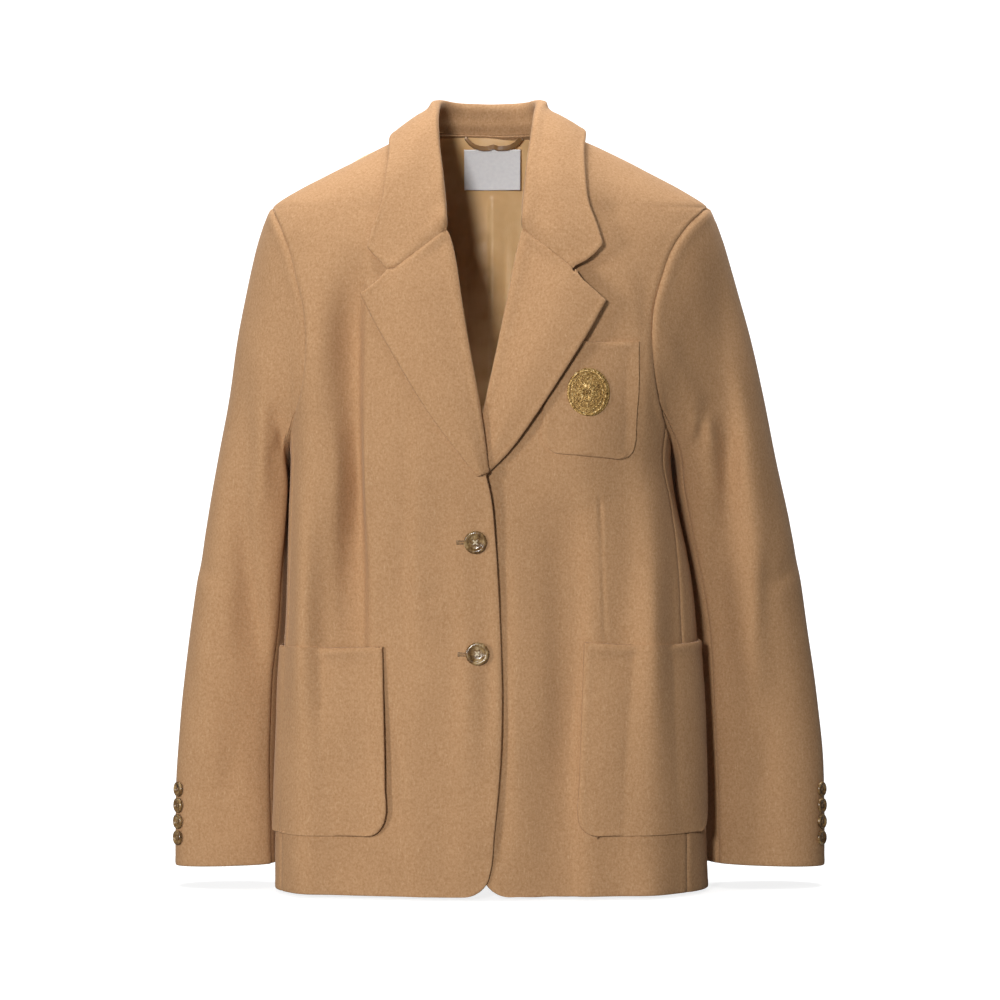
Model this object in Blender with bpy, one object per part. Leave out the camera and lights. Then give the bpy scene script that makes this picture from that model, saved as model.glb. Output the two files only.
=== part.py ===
# A single-breasted wool jacket, filled out as when worn, with nobody in it.
# Metres, +Z up. The front faces -Y and +X is the viewer's right.
# The origin is inside the neck, level with the back neck seam.
# "right" and "left" are the wearer's: the right half has side -1, the left half +1.

import math

import bmesh
import bpy
from mathutils import Vector

# ---- driving sizes ----
HEM = -0.724                 # height of the hem: the back is 724 mm long
WALL = 0.0018                # wool
COLLAR_WALL = 0.0020
LAPEL_WALL = 0.0017
LINING_WALL = 0.0012
LABEL_WALL = 0.0007
SEAM_GAP = 0.0003            # between pieces that are sewn edge to edge
LAY_GAP = 0.0010             # between a panel and what lies on it
NECK_INSET = 0.0016          # from the neck edge in to the collar's stand
NECK_DROP = 0.0006           # from the stand's lower edge down to the back's neck edge
SHOULDER_STATION = 3.0       # where the collar passes the shoulder seam
FOLD_RADIUS = 0.0027         # of the collar's middle, where it turns over
ROLL_OFFSET = 0.0034         # from a lapel's roll line to the front's own edge
LINING_INSET = 0.0045        # from the back's outer side to the lining's
LINING_TOP = -0.0015
LINING_BOTTOM = HEM + 0.025
FRONT_SQUARENESS = 2.4       # how boxy the rings round the body are, in front and behind
BACK_SQUARENESS = 2.1
SLEEVE_SQUARENESS = 2.2
HEM_CORNER = 0.024           # radius of the fronts' lower corners
BREAK = -0.338               # height where the lapels start to turn
GORGE = -0.102               # height where the lapels meet the collar, at the roll line
STATIONS = 24                # points round an armhole, shared by the body and the sleeve
FRONT_SEAM_STATION = 10      # where the side panel's two seams meet the armhole
BACK_SEAM_STATION = 15
SLEEVE_FRONT_STATION = 9     # where the sleeve's two seams meet the armhole
SLEEVE_HIND_STATION = 19
CAP = 0.36                   # the part of a sleeve's length that is its cap
CUFF_FRONT = 0.39            # places of the sleeve's seams at the cuff, in parts of a circle
CUFF_HIND = 0.965
ARMPIT_PASSES = 4            # how often the cloth under the arm is eased
ARMPIT_GAP = 0.0012
BUTTON_RADIUS = 0.0108
BUTTON_HEIGHT = 0.0036
CUFF_BUTTON_RADIUS = 0.0072
CUFF_BUTTON_HEIGHT = 0.0030
CUFF_BUTTONS = 4
CUFF_BUTTON_TOP = 0.880      # place of the top one, in parts of the sleeve's length
CUFF_BUTTON_STEP = 0.0252
CUFF_BUTTON_PLACE = 0.075    # round the sleeve from its outer side towards the front
BUTTON_GAP = 0.0007          # under a button
EMBLEM_CENTRE = (0.0895, -0.2550)
EMBLEM_SIZE = (0.019, 0.022)  # half width and half height
EMBLEM_WALL = 0.0010
EMBLEM_GAP = 0.0011
LABEL_WIDTH = 0.055
LABEL_TOP = -0.0125
LABEL_BOTTOM = -0.0505
LABEL_LIFT = 0.0066          # of its middle, off the lining's outer side
HANGER_SPAN = 0.052
HANGER_TOP = -0.0015
HANGER_SAG = 0.0090
HANGER_RADIUS = 0.0016

# ---- tables: each row is a section, each column a named size ----
# Rings round the body: half widths, depths from the YZ plane, and depth of the widest point.
BODY = {
    "height": (0.006, 0.000, -0.011, -0.033, -0.048, -0.062, -0.077, -0.100, -0.130, -0.165, -0.200,
               -0.240, -0.270, -0.312, -0.360, -0.410, -0.460, -0.540, -0.630, HEM),
    "right": (0.054, 0.067, 0.096, 0.138, 0.167, 0.191, 0.211, 0.219, 0.218, 0.212, 0.206,
              0.199, 0.193, 0.189, 0.191, 0.194, 0.196, 0.202, 0.204, 0.205),
    "left": (0.050, 0.061, 0.090, 0.136, 0.165, 0.188, 0.209, 0.218, 0.215, 0.206, 0.197,
             0.186, 0.176, 0.1695, 0.1775, 0.188, 0.196, 0.201, 0.204, 0.207),
    "front": (0.020, 0.028, 0.040, 0.056, 0.065, 0.072, 0.078, 0.086, 0.095, 0.104, 0.110,
              0.115, 0.117, 0.116, 0.110, 0.103, 0.100, 0.101, 0.104, 0.108),
    "back": (0.062, 0.066, 0.073, 0.084, 0.090, 0.095, 0.099, 0.103, 0.106, 0.107, 0.106,
             0.103, 0.100, 0.095, 0.089, 0.085, 0.086, 0.091, 0.097, 0.101),
    "middle": (0.012, 0.012, 0.011, 0.010, 0.009, 0.007, 0.005, 0.000, -0.005, -0.009, -0.012,
               -0.014, -0.015, -0.015, -0.015, -0.015, -0.015, -0.015, -0.015, -0.015),
}
# Round an armhole from the shoulder, down the front, under the arm and up the back.
# A turn is degrees round the body's ring: 0 at the centre front, 90 at the side, 180 behind.
ARMHOLE = {
    "height": (-0.0735, -0.098, -0.148, -0.200, -0.248, -0.286, -0.309, -0.302, -0.262, -0.212,
               -0.162, -0.112),
    "right": (90.0, 63.0, 55.0, 54.0, 60.0, 76.0, 92.0, 108.0, 121.0, 124.0, 124.0, 117.0),
    "left": (90.0, 55.0, 46.0, 46.5, 54.0, 70.0, 92.0, 108.0, 121.0, 124.0, 124.0, 117.0),
}
# Turns of the side panels' seams.
SIDE_SEAM = {
    "height": (-0.250, -0.360, -0.410, -0.460, HEM),
    "right": (76.0, 75.5, 75.2, 75.0, 72.0),
    "left": (72.0, 72.5, 68.5, 64.5, 61.0),
    "behind": (114.0, 114.5, 114.8, 115.0, 117.0),
}
# Free edges of the fronts below the lapels, at X.
FRONT_EDGE = {
    "height": (BREAK, -0.385, -0.462, -0.541, -0.597, -0.652, -0.701, HEM),
    "right": (-0.001, 0.004, 0.0086, 0.011, 0.0095, 0.005, 0.000, -0.001),
    "left": (-0.019, -0.028, -0.030, -0.029, -0.026, -0.020, -0.009, -0.007),
}
# The neck seam of the fronts, from the gorge to the shoulder, as a distance from X = 0.
NECK_SEAM = {
    "height": (GORGE, -0.075, -0.045, -0.022, -0.008, 0.000),
    "right": (0.053, 0.057, 0.062, 0.066, 0.069, 0.0669),
    "left": (0.043, 0.047, 0.052, 0.057, 0.061, 0.0609),
}
# Roll lines of the lapels, at X.
ROLL = {
    "height": (GORGE, -0.131, -0.197, -0.247, -0.297, BREAK),
    "right": (-0.040, -0.0335, -0.0225, -0.0138, -0.0062, -0.001),
    "left": (0.030, 0.0232, 0.0095, -0.001, -0.0115, -0.019),
}
# Outer edges of the lapels, from the break point up to the tip; lift is off the chest.
LAPEL_RIGHT = {
    "along": (0.0, 0.25, 0.5, 0.75, 1.0),
    "x": (-0.0125, -0.030, -0.063, -0.094, -0.1195),
    "height": (-0.333, -0.311, -0.266, -0.212, -0.163),
    "lift": (0.0030, 0.0045, 0.0050, 0.0055, 0.0060),
}
LAPEL_LEFT = {
    "along": (0.0, 0.25, 0.5, 0.75, 1.0),
    "x": (-0.0060, 0.018, 0.052, 0.086, 0.105),
    "height": (-0.333, -0.309, -0.262, -0.206, -0.172),
    "lift": (0.0040, 0.0074, 0.0120, 0.0135, 0.0125),
}
# The collar from the centre back round to the gorge: the height of its neck seam, then half width,
# depth and height of the roll at the top and of the outer edge, from a centre; lift is off the body.
COLLAR = {
    "station": (0.0, 1.0, 2.0, 3.0, 4.0, 5.0, 6.0, 7.0),
    "centre": (-0.001, -0.001, -0.002, -0.003, -0.005, -0.006, -0.006, -0.006),
    "neck_z": (0.0030, 0.0030, 0.0018, -0.0010, -0.0120, -0.045, -0.075, -0.098),
    "roll_half": (0.000, 0.026, 0.0410, 0.0452, 0.0445, 0.0395, 0.0365, 0.0345),
    "roll_y": (0.068, 0.062, 0.041, 0.010, -0.026, -0.060, -0.077, -0.090),
    "roll_z": (0.033, 0.033, 0.032, 0.024, 0.004, -0.045, -0.078, -0.1005),
    "edge_half": (0.000, 0.040, 0.069, 0.086, 0.0875, 0.0930, 0.1055, 0.0825),
    "edge_y": (0.080, 0.075, 0.058, 0.016, -0.036, -0.058, -0.072, -0.088),
    "edge_z": (-0.024, -0.024, -0.021, -0.008, -0.040, -0.086, -0.1235, -0.1420),
    "lift_right": (0.0035, 0.0035, 0.0040, 0.0045, 0.0050, 0.0055, 0.0060, 0.0055),
    "lift_left": (0.0035, 0.0035, 0.0040, 0.0055, 0.0085, 0.0110, 0.0130, 0.0115),
}
# Sections of the arms below the armhole: how far out, how wide, how deep.
SLEEVE = {
    "height": (-0.322, -0.400, -0.480, -0.560, -0.640, -0.7055),
    "right": (-0.2630, -0.2770, -0.2900, -0.3000, -0.3060, -0.3060),
    "left": (0.2740, 0.2910, 0.3060, 0.3170, 0.3230, 0.3230),
    "width_right": (0.098, 0.101, 0.107, 0.112, 0.116, 0.116),
    "width_left": (0.110, 0.112, 0.115, 0.118, 0.120, 0.120),
    "middle": (0.024, 0.030, 0.034, 0.034, 0.031, 0.028),
    "depth": (0.060, 0.056, 0.050, 0.044, 0.040, 0.038),
    "tilt": (0.012, 0.010, 0.006, 0.003, 0.000, -0.002),
    "clearance": (0.003, 0.004, 0.007, 0.008, 0.008, 0.006),
}
# Large soft folds of the fronts: a valley at X, as wide and as deep as given, between two heights.
FOLDS = (
    {"side": -1, "x": -0.126, "lower_x": -0.123, "wide": 0.022, "deep": 0.0075,
     "top": -0.110, "bottom": -0.520},
    {"side": -1, "x": -0.130, "lower_x": -0.126, "wide": 0.026, "deep": 0.0040,
     "top": -0.120, "bottom": -0.760},
    {"side": -1, "x": -0.065, "lower_x": -0.050, "wide": 0.020, "deep": 0.0016,
     "top": -0.300, "bottom": -0.480},
    {"side": 1, "x": 0.070, "lower_x": 0.067, "wide": 0.022, "deep": 0.0048,
     "top": -0.300, "bottom": -0.760},
    {"side": 1, "x": 0.102, "lower_x": 0.107, "wide": 0.006, "deep": 0.0012,
     "top": -0.340, "bottom": -0.500},
)
# Long soft folds of the sleeves, at a turn in parts of a circle, between two parts of the length.
SLEEVE_FOLDS = (
    {"side": 1, "turn": 0.19, "lower_turn": 0.24, "wide": 0.035, "deep": 0.0050,
     "top": 0.04, "bottom": 0.52},
    {"side": 1, "turn": 0.33, "lower_turn": 0.30, "wide": 0.045, "deep": 0.0040,
     "top": 0.30, "bottom": 0.90},
    {"side": -1, "turn": 0.30, "lower_turn": 0.27, "wide": 0.040, "deep": 0.0040,
     "top": 0.10, "bottom": 0.70},
    {"side": -1, "turn": 0.78, "lower_turn": 0.82, "wide": 0.050, "deep": 0.0040,
     "top": 0.20, "bottom": 0.80},
    {"side": 1, "turn": 0.80, "lower_turn": 0.84, "wide": 0.050, "deep": 0.0040,
     "top": 0.25, "bottom": 0.75},
)
# Rows along a sleeve, in parts of its length.
SLEEVE_ROWS = (0.0, 0.04, 0.085, 0.135, 0.185, 0.24, 0.30, 0.36, 0.44, 0.52, 0.60,
               0.68, 0.76, 0.84, 0.92, 1.0)
# Patch pockets: X of the inner edge at the mouth and at the foot, width, heights and corner radius;
# crown is how far the middle stands out, sag how far the mouth dips, slope how far the foot's
# inner end is above its outer end.
POCKETS = (
    {"name": "pocket_right", "side": -1, "inner_top": -0.1005, "inner_bottom": -0.0972, "width": 0.148,
     "top": -0.4920, "bottom": -0.6690, "corner": 0.0190, "crown": 0.0015, "sag": 0.0015,
     "slope": 0.0, "columns": 10},
    {"name": "pocket_left", "side": 1, "inner_top": 0.0870, "inner_bottom": 0.0805, "width": 0.148,
     "top": -0.4875, "bottom": -0.6680, "corner": 0.0180, "crown": 0.0015, "sag": 0.0030,
     "slope": 0.0, "columns": 10},
    {"name": "chest_pocket", "side": 1, "inner_top": 0.0500, "inner_bottom": 0.0475, "width": 0.0885,
     "top": -0.2075, "bottom": -0.3185, "corner": 0.0160, "crown": 0.0006, "sag": 0.0008,
     "slope": 0.0080, "columns": 7},
)
# Front buttons: X and height of their centres.
FRONT_BUTTONS = (
    {"x": -0.0143, "height": -0.394},
    {"x": -0.0126, "height": -0.498},
)

SIDES = {"right": -1, "left": 1}
NAME_OF_SIDE = {-1: "right", 1: "left"}


# ---- reading the tables ----

def read(table, key, column, value):
    # A smooth curve through a column, level beyond its ends.
    keys = table[key]
    values = table[column]
    if keys[0] > keys[-1]:
        keys = keys[::-1]
        values = values[::-1]
    if value <= keys[0]:
        return values[0]
    if value >= keys[-1]:
        return values[-1]
    i = max(k for k in range(len(keys) - 1) if keys[k] <= value)
    slopes = [(values[k + 1] - values[k]) / (keys[k + 1] - keys[k]) for k in range(len(keys) - 1)]

    def slope_at(k):
        if k == 0:
            return slopes[0]
        if k == len(slopes):
            return slopes[-1]
        if slopes[k - 1] * slopes[k] <= 0.0:
            return 0.0
        return 2.0 * slopes[k - 1] * slopes[k] / (slopes[k - 1] + slopes[k])

    step = keys[i + 1] - keys[i]
    t = (value - keys[i]) / step
    start = (1.0 + 2.0 * t) * (1.0 - t) ** 2 * values[i] + t * (1.0 - t) ** 2 * step * slope_at(i)
    end = t * t * (3.0 - 2.0 * t) * values[i + 1] - t * t * (1.0 - t) * step * slope_at(i + 1)
    return start + end


def read_loop(values, place):
    # A smooth closed curve through a column, place going from 0 to 1 round it.
    count = len(values)
    at = (place % 1.0) * count
    i = int(at)
    t = at - i
    a, b, c, d = (values[(i + k) % count] for k in (-1, 0, 1, 2))
    return 0.5 * (2.0 * b + (c - a) * t + (2.0 * a - 5.0 * b + 4.0 * c - d) * t * t
                  + (3.0 * b - a - 3.0 * c + d) * t ** 3)


def ease(t):
    t = min(max(t, 0.0), 1.0)
    return t * t * (3.0 - 2.0 * t)


def mix(a, b, t):
    return a + (b - a) * t


# ---- the body's surface ----

def soft_max(a, b, softness):
    return 0.5 * (a + b + math.sqrt((a - b) ** 2 + softness ** 2))


def window(value, top, bottom, fade):
    return ease((top - value) / fade) * ease((value - bottom) / fade)


def fold_depth(side, x, z):
    total = 0.0
    for fold in FOLDS:
        if fold["side"] != side:
            continue
        t = ease((fold["top"] - z) / (fold["top"] - fold["bottom"]))
        off = (x - mix(fold["x"], fold["lower_x"], t)) / fold["wide"]
        total += fold["deep"] * math.exp(-off * off) * window(z, fold["top"], fold["bottom"], 0.10)
    return total


def under_depth(side, x, z):
    # How far the left front sits behind the right one where they overlap.
    if side < 0:
        return 0.0
    near = 1.0 - ease((x - 0.015) / 0.075)
    at_break = math.exp(-((z + 0.325) / 0.075) ** 2)
    above = ease((z + 0.20) / 0.10)
    return near * (0.0034 + 0.0085 * at_break) * (1.0 - above)


def ring(side, z):
    name = NAME_OF_SIDE[side]
    middle = read(BODY, "height", "middle", z)
    return {
        "half": read(BODY, "height", name, z),
        "middle": middle,
        "front": read(BODY, "height", "front", z) + middle,
        "back": read(BODY, "height", "back", z) - middle,
    }


def bare_body(side, turn, z):
    # Turn in degrees; a turn below 0 is past the centre front, on the other half.
    section = ring(side, z)
    angle = math.radians(turn)
    squareness = FRONT_SQUARENESS if turn <= 90.0 else BACK_SQUARENESS
    power = 2.0 / squareness
    across = math.copysign(abs(math.sin(angle)) ** power, math.sin(angle))
    deep = abs(math.cos(angle)) ** power
    x = side * section["half"] * across
    if turn <= 90.0:
        y = section["middle"] - section["front"] * deep
    else:
        y = section["middle"] + section["back"] * deep
    return Vector((x, y, z))


def body(side, turn, z):
    point = bare_body(side, turn, z)
    if turn < 90.0:
        away = ease((86.0 - turn) / 30.0)
        point.y += away * (fold_depth(side, point.x, z) + under_depth(side, point.x, z))
    return point


def turn_at(side, x, z):
    share = side * x / ring(side, z)["half"]
    share = min(max(share, -1.0), 1.0)
    return math.degrees(math.copysign(math.asin(abs(share) ** (FRONT_SQUARENESS / 2.0)), share))


def normal_of(surface, a, b, step_a, step_b):
    # Unit normal of surface(a, b), by small differences.
    along = surface(a + step_a, b) - surface(a - step_a, b)
    up = surface(a, b + step_b) - surface(a, b - step_b)
    return along.cross(up).normalized()


def body_normal(side, turn, z):
    # Points away from the body.
    normal = normal_of(lambda a, b: body(side, a, b), turn, z, 0.4, 0.0006)
    return normal * side


def chest(side, x, z, lift):
    # A point of the front, moved out by lift.
    turn = turn_at(side, x, z)
    return body(side, turn, z) + body_normal(side, turn, z) * lift


# ---- the armhole ----

def armhole(side, place):
    z = read_loop(ARMHOLE["height"], place)
    turn = read_loop(ARMHOLE[NAME_OF_SIDE[side]], place)
    return turn, z


def side_seam_turn(side, z, station, column):
    # From the armhole's own point down to the seam's table.
    turn, top = armhole(side, station / STATIONS)
    settled = read(SIDE_SEAM, "height", column, z)
    return mix(turn, settled, ease((top - z) / 0.10))


# ---- making cloth ----

def material(name, colour, roughness, metallic=0.0):
    made = bpy.data.materials.new(name)
    made.use_nodes = True
    shader = made.node_tree.nodes["Principled BSDF"]
    shader.inputs["Base Color"].default_value = (*colour, 1.0)
    shader.inputs["Roughness"].default_value = roughness
    shader.inputs["Metallic"].default_value = metallic
    return made


def finish(mesh, name, finish_material, collection, smooth_angle=40.0):
    mesh.name = name
    mesh.shade_smooth()
    mesh.set_sharp_from_angle(angle=math.radians(smooth_angle))
    mesh.materials.append(finish_material)
    made = bpy.data.objects.new(name, mesh)
    collection.objects.link(made)
    return made


def cloth(name, outer, inner, finish_material, collection):
    # A grid of points on the outer side and one on the inner side, joined by a rim.
    columns = len(outer)
    rows = len(outer[0])
    shape = bmesh.new()
    bmesh.ops.create_grid(shape, x_segments=columns - 1, y_segments=rows - 1, size=1.0)

    def place_of(vert):
        return (round((vert.co.x + 1.0) / 2.0 * (columns - 1)), round((vert.co.y + 1.0) / 2.0 * (rows - 1)))

    seats = {vert: (*place_of(vert), inner) for vert in shape.verts}
    extruded = bmesh.ops.extrude_face_region(shape, geom=shape.faces[:])
    raised = [item for item in extruded["geom"] if isinstance(item, bmesh.types.BMVert)]
    seats.update({vert: (*place_of(vert), outer) for vert in raised})
    for vert, (i, j, layer) in seats.items():
        vert.co = layer[i][j]
    if shape.calc_volume(signed=True) < 0.0:
        bmesh.ops.reverse_faces(shape, faces=shape.faces[:])
    outside = {vert: outer[i][j] for vert, (i, j, layer) in seats.items()}
    for face in shape.faces[:]:
        cut_across(face, outside)
    mesh = bpy.data.meshes.new(name)
    shape.to_mesh(mesh)
    shape.free()
    return finish(mesh, name, finish_material, collection)


def cut_across(face, outside):
    # Cuts a face of four corners alike on both sides of the wall, and on both edges of a seam.
    corners = face.verts[:]
    spots = [outside[vert] for vert in corners]
    on_rim = spots[0] == spots[1] or spots[1] == spots[2]
    if on_rim:
        lowest = min(spots, key=lambda spot: spot.z)
        start = next(k for k in range(4) if spots[k] == lowest and corners[k].co == lowest)
    else:
        first = (spots[0] - spots[2]).length
        second = (spots[1] - spots[3]).length
        start = 0 if first <= second else 1
    bmesh.utils.face_split(face, corners[start], corners[(start + 2) % 4])


def pull_in(outer, inner, edges, amount):
    # Moves the named edges of both grids inwards, which leaves a gap at a seam.
    last_i = len(outer) - 1
    last_j = len(outer[0]) - 1
    steps = {
        "start": [((0, j), (1, j)) for j in range(last_j + 1)],
        "end": [((last_i, j), (last_i - 1, j)) for j in range(last_j + 1)],
        "low": [((i, 0), (i, 1)) for i in range(last_i + 1)],
        "high": [((i, last_j), (i, last_j - 1)) for i in range(last_i + 1)],
    }
    for edge in edges:
        for (i, j), (ni, nj) in steps[edge]:
            step = (outer[ni][nj] - outer[i][j]).normalized() * amount
            outer[i][j] = outer[i][j] + step
            inner[i][j] = inner[i][j] + step


def grid_normals(points):
    # Normals of a grid of points, from its neighbours.
    last_i = len(points) - 1
    last_j = len(points[0]) - 1
    normals = []
    for i in range(last_i + 1):
        column = []
        for j in range(last_j + 1):
            along = points[min(i + 1, last_i)][j] - points[max(i - 1, 0)][j]
            up = points[i][min(j + 1, last_j)] - points[i][max(j - 1, 0)]
            column.append(along.cross(up).normalized())
        normals.append(column)
    return normals


def offset_grid(points, normals, amount):
    return [[point + normal * amount for point, normal in zip(column, directions)]
            for column, directions in zip(points, normals)]


# ---- body panels ----

def armhole_heights(first, last):
    # Heights of the armhole's stations, lowest first.
    step = 1 if last > first else -1
    return [read_loop(ARMHOLE["height"], k / STATIONS) for k in range(first, last + step, step)]


def evenly(first, last, count):
    return [mix(first, last, k / count) for k in range(count + 1)]


def levels_up_to(top):
    # Heights of the rows below the armhole, the same shares on both sides of every seam.
    corner = [HEM_CORNER * (1.0 - math.cos(math.radians(angle))) for angle in (0, 30, 60, 90)]
    length = armhole(1, FRONT_SEAM_STATION / STATIONS)[1] - HEM
    shares = [rise / length for rise in corner] + evenly(HEM_CORNER / length, 1.0, 12)[1:]
    return [mix(HEM, top, share) for share in shares]


def hem_rounding(z):
    # How far the front's edge is set back by its round lower corner.
    rise = min(max(z - HEM, 0.0), HEM_CORNER)
    return HEM_CORNER - math.sqrt(HEM_CORNER ** 2 - (HEM_CORNER - rise) ** 2)


def front_inner_x(side, z):
    name = NAME_OF_SIDE[side]
    if z >= GORGE:
        return side * read(NECK_SEAM, "height", name, z)
    if z >= BREAK:
        return read(ROLL, "height", name, z) + side * ROLL_OFFSET * ease((z - BREAK) / 0.006)
    return read(FRONT_EDGE, "height", name, z) + side * hem_rounding(z)


def front_panel(side, finish_material, collection):
    name = NAME_OF_SIDE[side]
    columns = 13
    below = levels_up_to(armhole(side, FRONT_SEAM_STATION / STATIONS)[1])[:-1]
    beside_arm = armhole_heights(FRONT_SEAM_STATION, 0)
    above = [-0.058, -0.044, -0.030, -0.017, -0.008]
    heights = below + beside_arm + above
    first_arm_row = len(below)

    def turns(j):
        z = heights[j]
        inner = turn_at(side, front_inner_x(side, z), z)
        if j < first_arm_row:
            return inner, side_seam_turn(side, z, FRONT_SEAM_STATION, name)
        if j < first_arm_row + len(beside_arm):
            return inner, armhole(side, (FRONT_SEAM_STATION - (j - first_arm_row)) / STATIONS)[0]
        return inner, 90.0

    outer = []
    inner = []
    for i in range(columns + 1):
        outer_column = []
        inner_column = []
        for j, z in enumerate(heights):
            start, end = turns(j)
            turn = mix(start, end, i / columns)
            point = body(side, turn, z)
            outer_column.append(point)
            inner_column.append(point - body_normal(side, turn, z) * WALL)
        outer.append(outer_column)
        inner.append(inner_column)
    pull_in(outer, inner, ("end",), SEAM_GAP / 2.0)
    return cloth("front_" + name, outer, inner, finish_material, collection)


def side_panel(side, finish_material, collection):
    name = NAME_OF_SIDE[side]
    stations = list(range(FRONT_SEAM_STATION, BACK_SEAM_STATION + 1))
    outer = []
    inner = []
    for station in stations:
        share = (station - stations[0]) / (stations[-1] - stations[0])
        top_turn, top_z = armhole(side, station / STATIONS)
        outer_column = []
        inner_column = []
        for z in levels_up_to(top_z):
            start = side_seam_turn(side, z, FRONT_SEAM_STATION, name)
            end = side_seam_turn(side, z, BACK_SEAM_STATION, "behind")
            turn = mix(start, end, share)
            if 0.0 < share < 1.0:
                turn = mix(turn, top_turn, ease((z - top_z + 0.06) / 0.06))
            point = body(side, turn, z)
            outer_column.append(point)
            inner_column.append(point - body_normal(side, turn, z) * WALL)
        outer.append(outer_column)
        inner.append(inner_column)
    pull_in(outer, inner, ("start", "end"), SEAM_GAP / 2.0)
    return cloth("side_" + name, outer, inner, finish_material, collection)


def back_turn_limit(side, j, heights, first_arm_row, arm_rows):
    if j < first_arm_row:
        return side_seam_turn(side, heights[j], BACK_SEAM_STATION, "behind")
    if j < first_arm_row + arm_rows:
        return armhole(side, (BACK_SEAM_STATION + (j - first_arm_row)) / STATIONS)[0]
    return 90.0


def back_panel(finish_material, collection):
    columns = 16
    below = levels_up_to(armhole(1, BACK_SEAM_STATION / STATIONS)[1])[:-1]
    beside_arm = armhole_heights(BACK_SEAM_STATION, STATIONS)
    above = [-0.058, -0.044, -0.030, -0.017, -0.008, -0.001]
    heights = below + beside_arm + above
    outer = []
    inner = []
    for i in range(columns + 1):
        across = -1.0 + 2.0 * i / columns
        side = -1 if across < 0.0 else 1
        outer_column = []
        inner_column = []
        neck_edge = read(COLLAR, "station", "neck_z", SHOULDER_STATION * abs(across)) - NECK_DROP
        for j, z in enumerate(heights[:-1] + [neck_edge]):
            limit = back_turn_limit(side, j, heights, len(below), len(beside_arm))
            turn = mix(180.0, limit, abs(across))
            point = body(side, turn, z)
            normal = body_normal(side, turn, z) if abs(across) > 0.01 else Vector((0.0, 1.0, 0.0))
            outer_column.append(point)
            inner_column.append(point - normal * WALL)
        outer.append(outer_column)
        inner.append(inner_column)
    pull_in(outer, inner, ("start", "end"), SEAM_GAP / 2.0)
    return cloth("back", outer, inner, finish_material, collection)


# ---- sleeves ----

def body_reach(side, y, z):
    # How far out the body is at a depth and height.
    section = ring(side, z)
    off = y - section["middle"]
    depth = section["back"] if off > 0.0 else section["front"]
    squareness = BACK_SQUARENESS if off > 0.0 else FRONT_SQUARENESS
    if abs(off) >= depth:
        return 0.0
    return section["half"] * (1.0 - (abs(off) / depth) ** squareness) ** (1.0 / squareness)


def arm_section(side, place, down):
    # A point of the arm's lower part, down going from 0 at the bicep to 1 at the cuff.
    name = NAME_OF_SIDE[side]
    heights = SLEEVE["height"]
    z = mix(heights[0], heights[-1], down)
    angle = 2.0 * math.pi * place
    power = 2.0 / SLEEVE_SQUARENESS
    outwards = math.copysign(abs(math.cos(angle)) ** power, math.cos(angle))
    forwards = math.copysign(abs(math.sin(angle)) ** power, math.sin(angle))
    half = read(SLEEVE, "height", "width_" + name, z) / 2.0
    outer_x = abs(read(SLEEVE, "height", name, z))
    x = outer_x - half + half * outwards
    y = read(SLEEVE, "height", "middle", z) - read(SLEEVE, "height", "depth", z) * forwards
    height = z + read(SLEEVE, "height", "tilt", z) * outwards
    clearance = read(SLEEVE, "height", "clearance", z)
    reach = body_reach(side, y, height) + clearance
    return Vector((side * soft_max(x, reach, 0.008), y, height))


def sleeve(side, place, along):
    # along goes from 0 at the armhole to 1 at the cuff.
    if along >= CAP:
        point = arm_section(side, place, (along - CAP) / (1.0 - CAP))
    else:
        point = sleeve_cap(side, place, along / CAP)
    outwards = arm_section(side, place, 0.5) - arm_section(side, place + 0.5, 0.5)
    outwards.z = 0.0
    return point - outwards.normalized() * sleeve_fold_depth(side, place, along)


def sleeve_cap(side, place, t):
    turn, z = armhole(side, place)
    beneath = ease((0.35 - math.cos(2.0 * math.pi * place)) / 0.6)
    start = body(side, turn, z) + body_normal(side, turn, z) * 0.0012 * beneath
    end = arm_section(side, place, 0.0)
    step = 0.01
    loop = body(side, *armhole(side, place + step)) - body(side, *armhole(side, place - step))
    away = body_normal(side, turn, z).cross(loop).normalized() * side
    if away.x * side < 0.0 and math.cos(2.0 * math.pi * place) > 0.0:
        away = -away
    top = 0.5 * (1.0 + math.cos(2.0 * math.pi * place))
    falling = Vector((side * 0.25, 0.0, -0.97))
    leaving = (away * (0.15 + 0.85 * top) + falling * (1.0 - top)).normalized()
    arm_down = (arm_section(side, place, 0.12) - end).normalized()
    length = (end - start).length
    m_start = leaving * length * mix(0.60, 0.34, top)
    m_end = arm_down * length * mix(0.70, 1.10, top)
    point = (start * (1.0 + 2.0 * t) * (1.0 - t) ** 2 + m_start * t * (1.0 - t) ** 2
             + end * t * t * (3.0 - 2.0 * t) - m_end * t * t * (1.0 - t))
    return keep_clear(side, point, place, t)


def keep_clear(side, point, place, t):
    # The underarm stays just outside the side panel.
    low = ease((-0.5 * (math.cos(2.0 * math.pi * place)) + 0.15) / 0.5)
    clearance = 0.0014 + 0.0030 * ease(t / 0.30)
    reach = body_reach(side, point.y, point.z) + clearance
    if low > 0.0 and t > 0.0:
        point.x = side * mix(abs(point.x), soft_max(abs(point.x), reach, 0.008 * ease(t / 0.8)), low)
    return point


def sleeve_fold_depth(side, place, along):
    total = 0.0
    for fold in SLEEVE_FOLDS:
        if fold["side"] != side:
            continue
        t = ease((along - fold["top"]) / (fold["bottom"] - fold["top"]))
        off = (place % 1.0 - mix(fold["turn"], fold["lower_turn"], t)) / fold["wide"]
        total += fold["deep"] * math.exp(-off * off) * window(-along, -fold["top"], -fold["bottom"], 0.12)
    return total


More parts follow.
